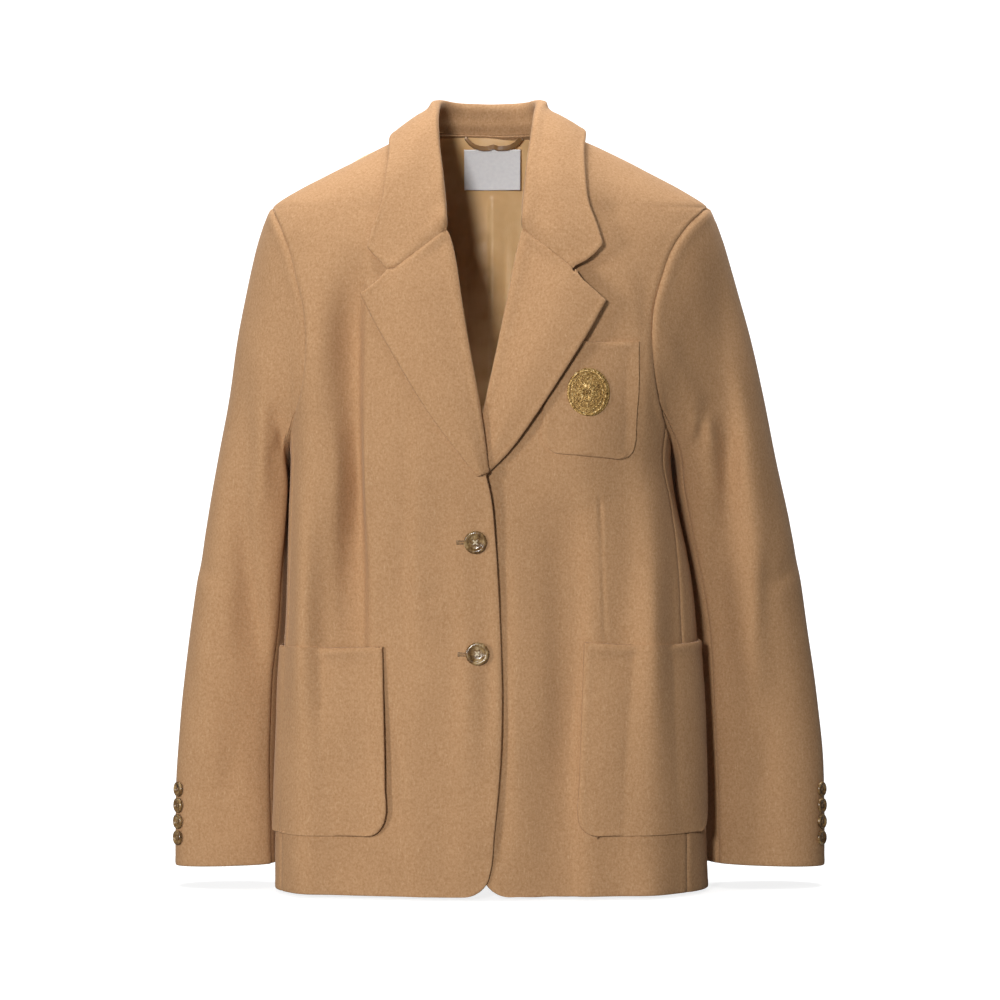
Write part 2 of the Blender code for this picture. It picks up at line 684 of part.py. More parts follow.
def seam_place(station, along):
    # The sleeve's seams drift from the armhole's stations to their own places at the cuff.
    if station <= SLEEVE_FRONT_STATION:
        first, last = SLEEVE_HIND_STATION - STATIONS, SLEEVE_FRONT_STATION
        cuff_first, cuff_last = CUFF_HIND - 1.0, CUFF_FRONT
    else:
        first, last = SLEEVE_FRONT_STATION, SLEEVE_HIND_STATION
        cuff_first, cuff_last = CUFF_FRONT, CUFF_HIND
    share = (station - first) / (last - first)
    return mix(station / STATIONS, mix(cuff_first, cuff_last, share), ease(along))


def sleeve_grid(side):
    # The whole sleeve: closed round its stations, eased where it folds under the arm.
    first = SLEEVE_HIND_STATION - STATIONS
    stations = range(first, first + STATIONS)
    grid = [[sleeve(side, seam_place(station, along), along) for along in SLEEVE_ROWS]
            for station in stations]
    for _ in range(ARMPIT_PASSES):
        eased = [column[:] for column in grid]
        for i, station in enumerate(stations):
            under = ease((0.25 - math.cos(2.0 * math.pi * station / STATIONS)) / 0.7)
            for j, along in enumerate(SLEEVE_ROWS[1:-1], start=1):
                weight = 0.7 * under * (1.0 - ease((along - 0.20) / 0.24))
                around = (grid[i - 1][j] + grid[(i + 1) % STATIONS][j]) / 2.0
                above_and_below = (grid[i][j - 1] + grid[i][j + 1]) / 2.0
                eased[i][j] = mix(grid[i][j], (around + above_and_below) / 2.0, weight)
                if weight > 0.0:
                    eased[i][j] = clear_of_body(eased[i][j], ARMPIT_GAP + 0.0016 * ease(along / 0.10))
        grid = eased
    last_j = len(SLEEVE_ROWS) - 1
    normals = []
    for i in range(STATIONS):
        column = []
        for j in range(last_j + 1):
            around = grid[(i + 1) % STATIONS][j] - grid[i - 1][j]
            down = grid[i][min(j + 1, last_j)] - grid[i][max(j - 1, 0)]
            column.append(around.cross(down).normalized() * side)
        place = stations[i] / STATIONS
        at_shoulder = ease(math.cos(2.0 * math.pi * place))
        column[0] = mix(column[0], body_normal(side, *armhole(side, place)), at_shoulder).normalized()
        normals.append(column)
    return grid, normals


def sleeve_panel(side, kind, finish_material, collection):
    grid, normals = sleeve_grid(side)
    first = SLEEVE_HIND_STATION - STATIONS
    if kind == "top":
        columns = range(SLEEVE_FRONT_STATION - first + 1)
    else:
        columns = range(SLEEVE_FRONT_STATION - first, STATIONS + 1)
    outer = [[point.copy() for point in grid[i % STATIONS]] for i in columns]
    inner = [[point - normal * WALL for point, normal in zip(grid[i % STATIONS], normals[i % STATIONS])]
             for i in columns]
    pull_in(outer, inner, ("start", "end"), SEAM_GAP / 2.0)
    pull_in(outer, inner, ("low",), SEAM_GAP)
    return cloth(kind + "_sleeve_" + NAME_OF_SIDE[side], outer, inner, finish_material, collection)


# ---- collar and lapels ----

def body_gap(point):
    # How far a point is outside the body, roughly, and which way is out.
    def share(x, y, z):
        section = ring(-1 if x < 0.0 else 1, z)
        off = y - section["middle"]
        depth = section["back"] if off > 0.0 else section["front"]
        squareness = BACK_SQUARENESS if off > 0.0 else FRONT_SQUARENESS
        total = (abs(x) / section["half"]) ** squareness + (abs(off) / depth) ** squareness
        return total ** (1.0 / squareness) - 1.0

    step = 0.0005
    here = share(*point)
    slope = Vector((share(point.x + step, point.y, point.z) - share(point.x - step, point.y, point.z),
                    share(point.x, point.y + step, point.z) - share(point.x, point.y - step, point.z),
                    share(point.x, point.y, point.z + step) - share(point.x, point.y, point.z - step)))
    slope /= 2.0 * step
    return here / slope.length, slope.normalized()


def clear_of_body(point, clearance):
    # Moves a point out until it is that far from the body.
    for _ in range(6):
        gap, direction = body_gap(point)
        if gap >= clearance:
            break
        point = point + direction * (clearance - gap)
    return point


def neck_point(side, station):
    # The lower edge of the collar's stand, just inside the body's neck edge.
    z = read(COLLAR, "station", "neck_z", station)
    if station <= SHOULDER_STATION:
        share = station / SHOULDER_STATION
        return (body(side, mix(180.0, 90.0, share), z)
                - Vector((side * NECK_INSET * share, NECK_INSET + NECK_DROP, 0.0)))
    x = side * (read(NECK_SEAM, "height", NAME_OF_SIDE[side], z) - NECK_INSET)
    return body(side, turn_at(side, x, z), z) + Vector((0.0, 0.0006, 0.0))


def turned_over(inside, top, outside, along, bulge):
    # The middle of a strip of cloth that goes up, turns over at the top and comes down.
    up = (top - inside).normalized()
    out = along.cross(up).normalized()
    if out.dot(outside - inside) < 0.0:
        out = -out
    centre = top - up * FOLD_RADIUS + out * FOLD_RADIUS
    first = centre - out * FOLD_RADIUS
    points = [inside, mix(inside, first, 0.5)]
    for angle in (0.0, 60.0, 120.0):
        turn = math.radians(angle)
        points.append(centre + (up * math.sin(turn) - out * math.cos(turn)) * FOLD_RADIUS)
    last = points[-1]
    for share in (0.2, 0.45, 0.72, 1.0):
        points.append(mix(last, outside, share) + out * bulge * math.sin(math.pi * share))
    return points


def collar(finish_material, collection):
    last = COLLAR["station"][-1]
    half_stations = [0.5 * k for k in range(int(2 * last) + 1)]
    places = [(-1, s) for s in reversed(half_stations)] + [(1, s) for s in half_stations[1:]]

    def at(side, station, kind):
        centre = read(COLLAR, "station", "centre", station)
        half = read(COLLAR, "station", kind + "_half", station)
        return Vector((centre + side * half, read(COLLAR, "station", kind + "_y", station),
                       read(COLLAR, "station", kind + "_z", station)))

    rolls = [at(side, station, "roll") for side, station in places]
    middle = []
    for k, (side, station) in enumerate(places):
        along = rolls[min(k + 1, len(rolls) - 1)] - rolls[max(k - 1, 0)]
        lift = read(COLLAR, "station", "lift_" + NAME_OF_SIDE[side], station)
        outside = clear_of_body(at(side, station, "edge"), lift)
        bulge = 0.0030 * (1.0 - ease((station - 4.5) / 2.5))
        row = turned_over(neck_point(side, station), rolls[k], outside, along, bulge)
        for i in range(4, len(row)):
            share = (i - 3) / (len(row) - 4)
            row[i] = clear_of_body(row[i], mix(0.0022, lift, ease(1.4 * share)))
        middle.append(row)
    normals = grid_normals(middle)
    outer = offset_grid(middle, normals, COLLAR_WALL / 2.0)
    inner = offset_grid(middle, normals, -COLLAR_WALL / 2.0)
    return cloth("collar", outer, inner, finish_material, collection)


def lapel(side, table, finish_material, collection):
    name = NAME_OF_SIDE[side]
    rows = 13
    middle = []
    for j in range(rows + 1):
        along = j / rows
        roll_z = mix(BREAK + 0.008, GORGE - 0.0025, along)
        roll_x = read(ROLL, "height", name, roll_z)
        edge_x = read(table, "along", "x", along)
        edge_z = read(table, "along", "height", along)
        lift = read(table, "along", "lift", along)
        reach = Vector((edge_x - roll_x, 0.0, edge_z - roll_z))
        length = reach.length
        reach.normalize()

        def on_row(distance, height):
            x = roll_x + reach.x * distance
            z = roll_z + reach.z * distance
            return chest(side, x, z, height)

        radius = WALL + 0.0005
        flap = min(0.016, 0.6 * length)
        row = [on_row(flap, -WALL / 2.0 - radius), on_row(mix(radius, flap, 0.45), -WALL / 2.0 - radius)]
        for angle in (0.0, 60.0, 120.0, 180.0):
            turn = math.radians(angle)
            row.append(on_row(radius - radius * math.sin(turn), -WALL / 2.0 - radius * math.cos(turn)))
        low = radius - WALL / 2.0
        for share in (0.14, 0.34, 0.56, 0.78, 1.0):
            rise = mix(low, lift, ease(share * 1.4)) + 0.0015 * math.sin(math.pi * share)
            row.append(on_row(mix(radius, length, share), rise))
        middle.append(row)
    normals = grid_normals(middle)
    outer = offset_grid(middle, normals, LAPEL_WALL / 2.0)
    inner = offset_grid(middle, normals, -LAPEL_WALL / 2.0)
    return cloth("lapel_" + name, outer, inner, finish_material, collection)


# ---- what lies on the fronts ----

def turns_along(side, x_start, z, length, count):
    # Turns at even steps of length along the ring, outwards from x_start.
    turn = turn_at(side, x_start, z)
    turns = [turn]
    step = 0.25
    walked = 0.0
    last = body(side, turn, z)
    while len(turns) <= count:
        turn += step
        point = body(side, turn, z)
        walked += (point - last).length
        last = point
        if walked >= length * len(turns) / count:
            turns.append(turn)
    return turns


def at_share(values, share):
    # Between the even steps of a list, share going from 0 to 1.
    at = share * (len(values) - 1)
    k = min(int(at), len(values) - 2)
    return mix(values[k], values[k + 1], at - k)


def patch(look, finish_material, collection):
    # A patch pocket: square at the mouth, round at its lower corners.
    steps = 60
    side = look["side"]
    width = look["width"]
    corner = look["corner"]
    first_rows = [look["bottom"] + corner * (1.0 - math.cos(math.radians(angle)))
                  for angle in (0, 30, 60, 90)]
    rows = []
    for z in first_rows + evenly(first_rows[-1], look["top"], 6)[1:]:
        up = (z - look["bottom"]) / (look["top"] - look["bottom"])
        start_x = mix(look["inner_bottom"], look["inner_top"], up)
        rows.append((z, up, turns_along(side, start_x, z, width, steps)))
    outer = []
    inner = []
    for i in range(look["columns"] + 1):
        outer_column = []
        inner_column = []
        for z, up, turns in rows:
            rise = min(z - look["bottom"], corner)
            inset = corner - math.sqrt(max(corner ** 2 - (corner - rise) ** 2, 0.0))
            share = mix(inset / width, 1.0 - inset / width, i / look["columns"])
            turn = at_share(turns, share)
            bow = math.sin(math.pi * share)
            height = z + look["slope"] * (1.0 - share) * (1.0 - up) - look["sag"] * bow * up * up
            swell = look["crown"] * bow * math.sin(math.pi * min(up, 0.8))
            point = body(side, turn, height)
            normal = body_normal(side, turn, height)
            outer_column.append(point + normal * (LAY_GAP + WALL + swell))
            inner_column.append(point + normal * (LAY_GAP + swell))
        outer.append(outer_column)
        inner.append(inner_column)
    return cloth(look["name"], outer, inner, finish_material, collection)


def emblem(finish_material, collection):
    # A thin oval plate of embroidery on the chest pocket.
    count = 8
    half_width, half_height = EMBLEM_SIZE
    below = LAY_GAP + WALL + EMBLEM_GAP
    outer = []
    inner = []
    for i in range(count + 1):
        outer_column = []
        inner_column = []
        for j in range(count + 1):
            u = -1.0 + 2.0 * i / count
            v = -1.0 + 2.0 * j / count
            x = EMBLEM_CENTRE[0] + half_width * u * math.sqrt(1.0 - v * v / 2.0)
            z = EMBLEM_CENTRE[1] + half_height * v * math.sqrt(1.0 - u * u / 2.0)
            outer_column.append(chest(1, x, z, below + EMBLEM_WALL))
            inner_column.append(chest(1, x, z, below))
        outer.append(outer_column)
        inner.append(inner_column)
    return cloth("emblem", outer, inner, finish_material, collection)


def facing(point, normal):
    # A frame at a point with Z along the normal.
    turned = normal.to_track_quat("Z", "Y").to_matrix().to_4x4()
    turned.translation = point
    return turned


def button(name, radius, height, place, holes, finish_material, collection):
    # A turned button: a flat back, a round rim and a dished middle.
    profile = (
        (0.00, 0.62), (0.40, 0.64), (0.60, 0.70), (0.72, 0.95), (0.86, 1.00), (0.97, 0.80),
        (1.00, 0.50), (0.93, 0.15), (0.80, 0.00), (0.00, 0.00),
    )
    shape = bmesh.new()
    verts = [shape.verts.new((radius * r, 0.0, height * h)) for r, h in profile]
    edges = [shape.edges.new(pair) for pair in zip(verts, verts[1:])]
    steps = 16 if holes else 10
    bmesh.ops.spin(shape, geom=verts + edges, cent=(0.0, 0.0, 0.0), axis=(0.0, 0.0, 1.0),
                   angle=math.radians(360.0), steps=steps, use_merge=True)
    bmesh.ops.remove_doubles(shape, verts=shape.verts[:], dist=0.00001)
    bmesh.ops.recalc_face_normals(shape, faces=shape.faces[:])
    shape.transform(place)
    mesh = bpy.data.meshes.new(name)
    shape.to_mesh(mesh)
    shape.free()
    made = finish(mesh, name, finish_material, collection)
    return made


def drill(target, place, radius, height, cutters):
    # Four holes through a button.
    hole_radius = radius * 0.10
    spacing = radius * 0.22
    shape = bmesh.new()
    for across in (-1.0, 1.0):
        for up in (-1.0, 1.0):
            made = bmesh.ops.create_cone(shape, cap_ends=True, segments=6, radius1=hole_radius,
                                         radius2=hole_radius, depth=height * 3.0)
            bmesh.ops.translate(shape, verts=made["verts"], vec=(across * spacing, up * spacing, 0.0))
    shape.transform(place)
    mesh = bpy.data.meshes.new(target.name + "_holes")
    shape.to_mesh(mesh)
    shape.free()
    cutter = bpy.data.objects.new(mesh.name, mesh)
    cutter.hide_render = True
    cutter.display_type = "WIRE"
    cutters.objects.link(cutter)
    cut = target.modifiers.new("holes", "BOOLEAN")
    cut.operation = "DIFFERENCE"
    cut.object = cutter


def front_buttons(finish_material, collection, cutters):
    for number, spot in enumerate(FRONT_BUTTONS, start=1):
        z = spot["height"]
        turn = turn_at(-1, spot["x"], z)
        normal = body_normal(-1, turn, z)
        place = facing(body(-1, turn, z) + normal * BUTTON_GAP, normal)
        made = button("front_button_%d" % number, BUTTON_RADIUS, BUTTON_HEIGHT, place, True,
                      finish_material, collection)
        drill(made, place, BUTTON_RADIUS, BUTTON_HEIGHT, cutters)


def cuff_buttons(finish_material, collection):
    # A row up the outer side of each sleeve, facing a little forward.
    for side, name in NAME_OF_SIDE.items():
        def outside(place, along):
            return sleeve(side, place, along)

        for number in range(CUFF_BUTTONS):
            along = CUFF_BUTTON_TOP + CUFF_BUTTON_STEP * number
            normal = normal_of(outside, CUFF_BUTTON_PLACE, along, 0.006, 0.004) * side
            place = facing(outside(CUFF_BUTTON_PLACE, along) + normal * BUTTON_GAP, normal)
            button("cuff_button_%s_%d" % (name, number + 1), CUFF_BUTTON_RADIUS, CUFF_BUTTON_HEIGHT,
                   place, False, finish_material, collection)


# ---- inside the neck ----

def lining_point(across, z):
    # across goes from -1 to 1; the centre pleat stands a little proud of the lining.
    side = -1 if across < 0.0 else 1
    limit = mix(104.0, 122.0, ease((-0.06 - z) / 0.08))
    turn = mix(180.0, limit, abs(across))
    point = bare_body(side, turn, z)
    gap, out = body_gap(point)
    pleat = 0.004 * math.exp(-((point.x - 0.004) / 0.006) ** 2)
    return point - out * (LINING_INSET + pleat)


def back_lining(finish_material, collection):
    columns = 18
    heights = evenly(LINING_BOTTOM, LINING_TOP, 13)
    middle = [[lining_point(-1.0 + 2.0 * i / columns, z) for z in heights] for i in range(columns + 1)]
    normals = grid_normals(middle)
    outer = offset_grid(middle, normals, LINING_WALL / 2.0)
    inner = offset_grid(middle, normals, -LINING_WALL / 2.0)
    return cloth("back_lining", outer, inner, finish_material, collection)


def label(finish_material, collection):
    # A blank woven label on the lining, bowed a little round the neck.
    columns, rows, bow = 8, 2, 4.0
    outer = []
    inner = []
    for i in range(columns + 1):
        x = mix(-LABEL_WIDTH / 2.0, LABEL_WIDTH / 2.0, i / columns) + 0.001
        column = []
        for j in range(rows + 1):
            z = mix(LABEL_BOTTOM, LABEL_TOP, j / rows)
            y = read(BODY, "height", "back", z) - LINING_INSET - LABEL_LIFT - bow * x * x
            column.append(Vector((x, y, z)))
        outer.append([point.copy() for point in column])
        inner.append([point + Vector((0.0, LABEL_WALL, 0.0)) for point in column])
    return cloth("label", outer, inner, finish_material, collection)


def hanger_loop(finish_material, collection):
    # A narrow rolled strip that sags under the neck seam.
    count, bow = 12, 3.0
    curve = bpy.data.curves.new("hanger_loop", "CURVE")
    curve.dimensions = "3D"
    curve.bevel_depth = HANGER_RADIUS
    curve.bevel_resolution = 2
    curve.use_fill_caps = True
    line = curve.splines.new("POLY")
    line.points.add(count)
    for k in range(count + 1):
        across = -1.0 + 2.0 * k / count
        x = across * HANGER_SPAN / 2.0 + 0.002
        z = HANGER_TOP - HANGER_SAG * (1.0 - across ** 4)
        y = read(BODY, "height", "back", z) - 0.0150 - bow * x * x
        line.points[k].co = (x, y, z, 1.0)
    made = bpy.data.objects.new("hanger_loop", curve)
    made.data.materials.append(finish_material)
    collection.objects.link(made)
    return made


# ---- the whole jacket ----

def clear_scene():
    for old in list(bpy.data.objects):
        bpy.data.objects.remove(old, do_unlink=True)


def build():
    clear_scene()
    collection = bpy.data.collections.new("jacket")
    cutters = bpy.data.collections.new("cutters")
    bpy.context.scene.collection.children.link(collection)
    bpy.context.scene.collection.children.link(cutters)
    wool = material("wool", (0.45, 0.27, 0.13), 0.95)
    satin = material("satin", (0.60, 0.40, 0.18), 0.35)
    horn = material("horn", (0.16, 0.09, 0.03), 0.30)
    thread = material("gold_thread", (0.55, 0.36, 0.10), 0.40, 0.6)
    woven = material("label_white", (0.85, 0.84, 0.86), 0.70)

    back_panel(wool, collection)
    for side in SIDES.values():
        front_panel(side, wool, collection)
        side_panel(side, wool, collection)
        sleeve_panel(side, "top", wool, collection)
        sleeve_panel(side, "under", wool, collection)
    collar(wool, collection)
    lapel(-1, LAPEL_RIGHT, wool, collection)
    lapel(1, LAPEL_LEFT, wool, collection)

    for look in POCKETS:
        patch(look, wool, collection)
    front_buttons(horn, collection, cutters)
    cuff_buttons(horn, collection)
    emblem(thread, collection)
    back_lining(satin, collection)
    label(woven, collection)
    hanger_loop(satin, collection)


build()
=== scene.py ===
# The looks of a single-breasted camel wool jacket: felted wool, satin lining, horn buttons and gold thread.
# Metres, +Z up, the front faces -Y. "Right" in a piece's name is the wearer's, at the viewer's left.

import math

import bmesh
import bpy
import numpy as np
from mathutils import Matrix, Vector
from mathutils.bvhtree import BVHTree


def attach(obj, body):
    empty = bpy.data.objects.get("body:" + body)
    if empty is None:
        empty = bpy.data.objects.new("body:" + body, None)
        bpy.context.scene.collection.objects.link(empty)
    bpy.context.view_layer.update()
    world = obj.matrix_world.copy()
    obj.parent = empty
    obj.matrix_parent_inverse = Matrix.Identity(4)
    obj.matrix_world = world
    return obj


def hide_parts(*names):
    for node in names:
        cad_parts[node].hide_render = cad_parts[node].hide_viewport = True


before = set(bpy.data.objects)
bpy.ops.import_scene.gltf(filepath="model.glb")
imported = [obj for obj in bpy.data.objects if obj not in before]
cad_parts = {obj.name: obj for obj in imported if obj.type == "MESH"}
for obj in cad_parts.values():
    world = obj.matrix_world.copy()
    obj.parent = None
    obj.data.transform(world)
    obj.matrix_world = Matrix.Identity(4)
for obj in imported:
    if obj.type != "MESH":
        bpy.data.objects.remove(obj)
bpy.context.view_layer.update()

scene = bpy.context.scene
print("stage: frame loaded,", len(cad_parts), "nodes")

# ---- camera, lights and floor

camera = {"x": 0.0086, "height": -0.355, "distance": 3.2, "lens": 120.0, "sensor": 36.0}
lights = {
    "key": {"at": (-2.20, -1.95, -0.10), "aim": (0.0, 0.0, -0.36), "size": 0.60, "power": 30.0,
            "colour": (1.0, 0.985, 0.965)},
    "front": {"at": (-0.55, -2.85, 0.02), "aim": (0.0, 0.0, -0.36), "size": 0.36, "power": 51.0,
              "colour": (1.0, 0.99, 0.98)},
    "backdrop": {"at": (0.0, 0.5, 2.2), "aim": (0.0, 1.7, -0.6), "size": 2.4, "power": 120.0,
                 "colour": (1.0, 1.0, 1.0)},
}
studio = {"floor": -0.7275, "front": -4.5, "wall": 2.4, "bend": 1.1, "bendSteps": 12, "halfWidth": 4.5,
          "height": 3.4, "fill": 0.085, "glow": 0.80, "pale": 0.42,
          "bounce": (0.16, 0.16, 0.16)}


def aimed(spot, target):
    return (Vector(target) - Vector(spot)).to_track_quat("-Z", "Y").to_euler()


def makeCamera():
    made = bpy.data.objects.new("camera", bpy.data.cameras.new("camera"))
    made.data.lens = camera["lens"]
    made.data.sensor_width = camera["sensor"]
    made.data.clip_end = 50.0
    made.location = (camera["x"], -camera["distance"], camera["height"])
    made.rotation_euler = (math.radians(90.0), 0.0, 0.0)
    scene.collection.objects.link(made)
    scene.camera = made


def makeLights():
    for name, lamp in lights.items():
        made = bpy.data.objects.new(name, bpy.data.lights.new(name, "AREA"))
        made.data.shape = "DISK"
        made.data.size = lamp["size"]
        made.data.energy = lamp["power"]
        made.data.color = lamp["colour"]
        made.location = lamp["at"]
        made.rotation_euler = aimed(lamp["at"], lamp["aim"])
        scene.collection.objects.link(made)
    world = bpy.data.worlds.new("studio")
    world.use_nodes = True
    world.node_tree.nodes["Background"].inputs["Color"].default_value = (1.0, 1.0, 1.0, 1.0)
    world.node_tree.nodes["Background"].inputs["Strength"].default_value = studio["fill"]
    scene.world = world
    scene.view_settings.view_transform = "Standard"


def makeBackdrop(paint):
    # a floor that bends up into a wall behind
    shape = bmesh.new()
    corner = studio["wall"] - studio["bend"]
    profile = [(studio["front"], studio["floor"]), (corner, studio["floor"])]
    for k in range(1, studio["bendSteps"] + 1):
        turn = math.radians(90.0 * k / studio["bendSteps"])
        profile.append((corner + studio["bend"] * math.sin(turn),
                        studio["floor"] + studio["bend"] * (1.0 - math.cos(turn))))
    profile.append((studio["wall"], studio["height"]))
    verts = [shape.verts.new((-studio["halfWidth"], y, z)) for y, z in profile]
    profileLines = [shape.edges.new(pair) for pair in zip(verts, verts[1:])]
    swept = bmesh.ops.extrude_edge_only(shape, edges=profileLines)
    moved = [item for item in swept["geom"] if isinstance(item, bmesh.types.BMVert)]
    bmesh.ops.translate(shape, verts=moved, vec=(2.0 * studio["halfWidth"], 0.0, 0.0))
    bmesh.ops.recalc_face_normals(shape, faces=shape.faces[:])
    made = meshObject("studioFloor", shape, paint)


# ---- small helpers

def meshObject(name, shape, paint):
    mesh = bpy.data.meshes.new(name)
    shape.to_mesh(mesh)
    shape.free()
    mesh.shade_smooth()
    mesh.materials.append(paint)
    made = bpy.data.objects.new(name, mesh)
    scene.collection.objects.link(made)
    return made


def ease(t):
    t = np.clip(t, 0.0, 1.0)
    return t * t * (3.0 - 2.0 * t)


def bell(distance, width):
    return np.exp(-(distance / width) ** 2)


# ---- reading a cloth solid back as rows and columns of points

reading = {"mergeDistance": 0.00002, "wallSlack": 0.00001}


def layersOf(shape):
    # groups of faces that hang together
    left = set(shape.faces)
    layers = []
    for first in shape.faces:
        if first not in left:
            continue
        left.remove(first)
        front = [first]
        layer = []
        while front:
            face = front.pop()
            layer.append(face)
            for edge in face.edges:
                for other in edge.link_faces:
                    if other in left:
                        left.remove(other)
                        front.append(other)
        layers.append(layer)
    return layers


def borderLoop(layer):
    # the border's points in order
    ahead = {}
    for face in layer:
        for loop in face.loops:
            if len(loop.edge.link_faces) == 1:
                ahead[loop.vert] = loop.link_loop_next.vert
    start = next(iter(ahead))
    loop = [start]
    while ahead[loop[-1]] is not start:
        loop.append(ahead[loop[-1]])
    return loop


def fourthCorner(shape, corner, right, up):
    # each four-cornered patch is cut into two triangles, one way or the other
    if len({corner, right, up}) < 3:
        return None
    across = shape.edges.get((right, up))
    if across is not None and any(corner in face.verts for face in across.link_faces):
        others = [vert for face in across.link_faces for vert in face.verts
                  if vert not in (corner, right, up)]
        return others[0] if others else None
    sides = []
    for end in (right, up):
        edge = shape.edges.get((corner, end))
        if edge is None:
            return None
        sides.append({vert for face in edge.link_faces for vert in face.verts} - {corner, right, up})
    shared = sides[0] & sides[1]
    return shared.pop() if shared else None


def walkedGrid(shape, loop, start, columns, rows):
    def onBorder(k):
        return loop[(start + k) % len(loop)]

    grid = [[onBorder(i)] for i in range(columns + 1)]
    grid[0] += [onBorder(-j) for j in range(1, rows + 1)]
    for j in range(rows):
        for i in range(columns):
            found = fourthCorner(shape, grid[i][j], grid[i + 1][j], grid[i][j + 1])
            if found is None:
                return None
            grid[i + 1].append(found)
    if any(grid[columns][j] is not onBorder(columns + j) for j in range(rows + 1)):
        return None
    return grid


def clothPoints(node, wall, shows):
    # columns and rows of points of the side that shows, columns running across and rows up
    shape = bmesh.new()
    shape.from_mesh(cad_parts[node].data)
    bmesh.ops.remove_doubles(shape, verts=shape.verts[:], dist=reading["mergeDistance"])
    rim = [face for face in shape.faces
           if any(abs(edge.calc_length() - wall) < reading["wallSlack"] for edge in face.edges)]
    bmesh.ops.delete(shape, geom=rim, context="FACES")
    layers = sorted(layersOf(shape), key=lambda layer: sum(face.calc_area() for face in layer))
    if shows == "front":
        layer = min(layers, key=lambda layer: sum(face.normal.y for face in layer))
    else:
        layer = layers[-1] if shows == "outside" else layers[-2]
    loop = borderLoop(layer)
    half = len(loop) // 2
    spread = round(math.sqrt(half * half - 2 * len(layer)))
    grid = None
    for columns, rows in {((half + spread) // 2, (half - spread) // 2),
                          ((half - spread) // 2, (half + spread) // 2)}:
        for start in range(len(loop)):
            grid = grid or walkedGrid(shape, loop, start, columns, rows)
    if grid is None:
        raise ValueError("no rows and columns in " + node)
    for vert in shape.verts:
        vert.normal_update()
    points = np.array([[vert.co[:] for vert in column] for column in grid])
    facing = np.array([[vert.normal[:] for vert in column] for column in grid])
    shape.free()
    return arranged(points, facing)


def arranged(points, facing):
    # rows go up, and columns run so that the sheet faces outwards
    if abs((points[-1] - points[0]).mean(0)[2]) > abs((points[:, -1] - points[:, 0]).mean(0)[2]):
        points = points.transpose(1, 0, 2)
        facing = facing.transpose(1, 0, 2)
    if (points[:, -1] - points[:, 0]).mean(0)[2] < 0.0:
        points = points[:, ::-1]
        facing = facing[:, ::-1]
    if (normalsOf(points) * facing).sum() < 0.0:
        points = points[::-1]
    return points


def normalsOf(points):
    normals = np.cross(np.gradient(points, axis=0), np.gradient(points, axis=1))
    return normals / np.maximum(np.linalg.norm(normals, axis=2, keepdims=True), 1e-12)


# ---- a smooth surface through the points

cornerFade = 0.016      # how far into the cloth a sharp corner of its edge is felt

def linesAcross(length, spacing, edgeLines):
    # close together at both borders, even between them
    near = [line for line in edgeLines if line < 0.4 * length]
    first = near[-1] if near else 0.0
    count = max(2, round((length - 2.0 * first) / spacing))
    middle = [first + (length - 2.0 * first) * k / count for k in range(count + 1)]
    return np.array(near[:-1] + middle + [length - line for line in near[:-1]][::-1])


def cornersOn(line, angle):
    # 1 at the inner points of a line where it turns sharply
    steps = np.diff(line, axis=0)
    steps /= np.maximum(np.linalg.norm(steps, axis=1, keepdims=True), 1e-9)
    return ((steps[:-1] * steps[1:]).sum(1) < math.cos(math.radians(angle))).astype(float)


def spreadOut(points, lines, corners):
    # a smooth curve along the first axis through every point, read at the given distances
    chords = np.maximum(np.linalg.norm(np.diff(points, axis=0), axis=2, keepdims=True), 1e-9)
    slopes = np.diff(points, axis=0) / chords
    middle = (slopes[:-1] * chords[1:] + slopes[1:] * chords[:-1]) / (chords[1:] + chords[:-1])
    leaving = np.concatenate((2.0 * slopes[:1] - middle[:1], middle, 2.0 * slopes[-1:] - middle[-1:]))
    arriving = leaving.copy()
    for k, m in zip(*np.nonzero(corners)):
        share = corners[k, m]
        arriving[k + 1, m] += share * (slopes[k, m] - arriving[k + 1, m])
        leaving[k + 1, m] += share * (slopes[k + 1, m] - leaving[k + 1, m])
    knots = np.concatenate(([0.0], np.cumsum(chords.mean(1)[:, 0])))
    lines = lines * knots[-1] / lines[-1]
    at = np.clip(np.searchsorted(knots, lines, side="right") - 1, 0, len(knots) - 2)
    t = ((lines - knots[at]) / (knots[at + 1] - knots[at]))[:, None, None]
    return ((1.0 + 2.0 * t) * (1.0 - t) ** 2 * points[at] + t * (1.0 - t) ** 2 * chords[at] * leaving[at]
            + t * t * (3.0 - 2.0 * t) * points[at + 1] - t * t * (1.0 - t) * chords[at] * arriving[at + 1])


def lengthAlong(points, axis):
    return np.linalg.norm(np.diff(points, axis=axis), axis=2).mean(1 - axis).sum()


def denseSheet(points, spacing, corner):
    # corner: the least turn, in degrees, that stays a corner up a border and along one
    up = linesAcross(lengthAlong(points, 1), spacing[1], edgeLines)
    corners = np.zeros((points.shape[1] - 2, points.shape[0]))
    corners[:, 0] = cornersOn(points[0], corner[0])
    corners[:, -1] = cornersOn(points[-1], corner[0])
    tall = spreadOut(points.transpose(1, 0, 2), up, corners)
    across = linesAcross(lengthAlong(points, 0), spacing[0], edgeLines)
    fromLow = 1.0 - ease(up / cornerFade)
    fromHigh = 1.0 - ease((up[-1] - up) / cornerFade)
    corners = (cornersOn(points[:, 0], corner[1])[:, None] * fromLow
               + cornersOn(points[:, -1], corner[1])[:, None] * fromHigh)
    return spreadOut(tall.transpose(1, 0, 2), across, corners)


def walked(points, axis):
    steps = np.linalg.norm(np.diff(points, axis=axis), axis=2)
    start = np.zeros_like(points[:1, :, 0] if axis == 0 else points[:, :1, 0])
    return np.concatenate((start, np.cumsum(steps, axis=axis)), axis=axis)
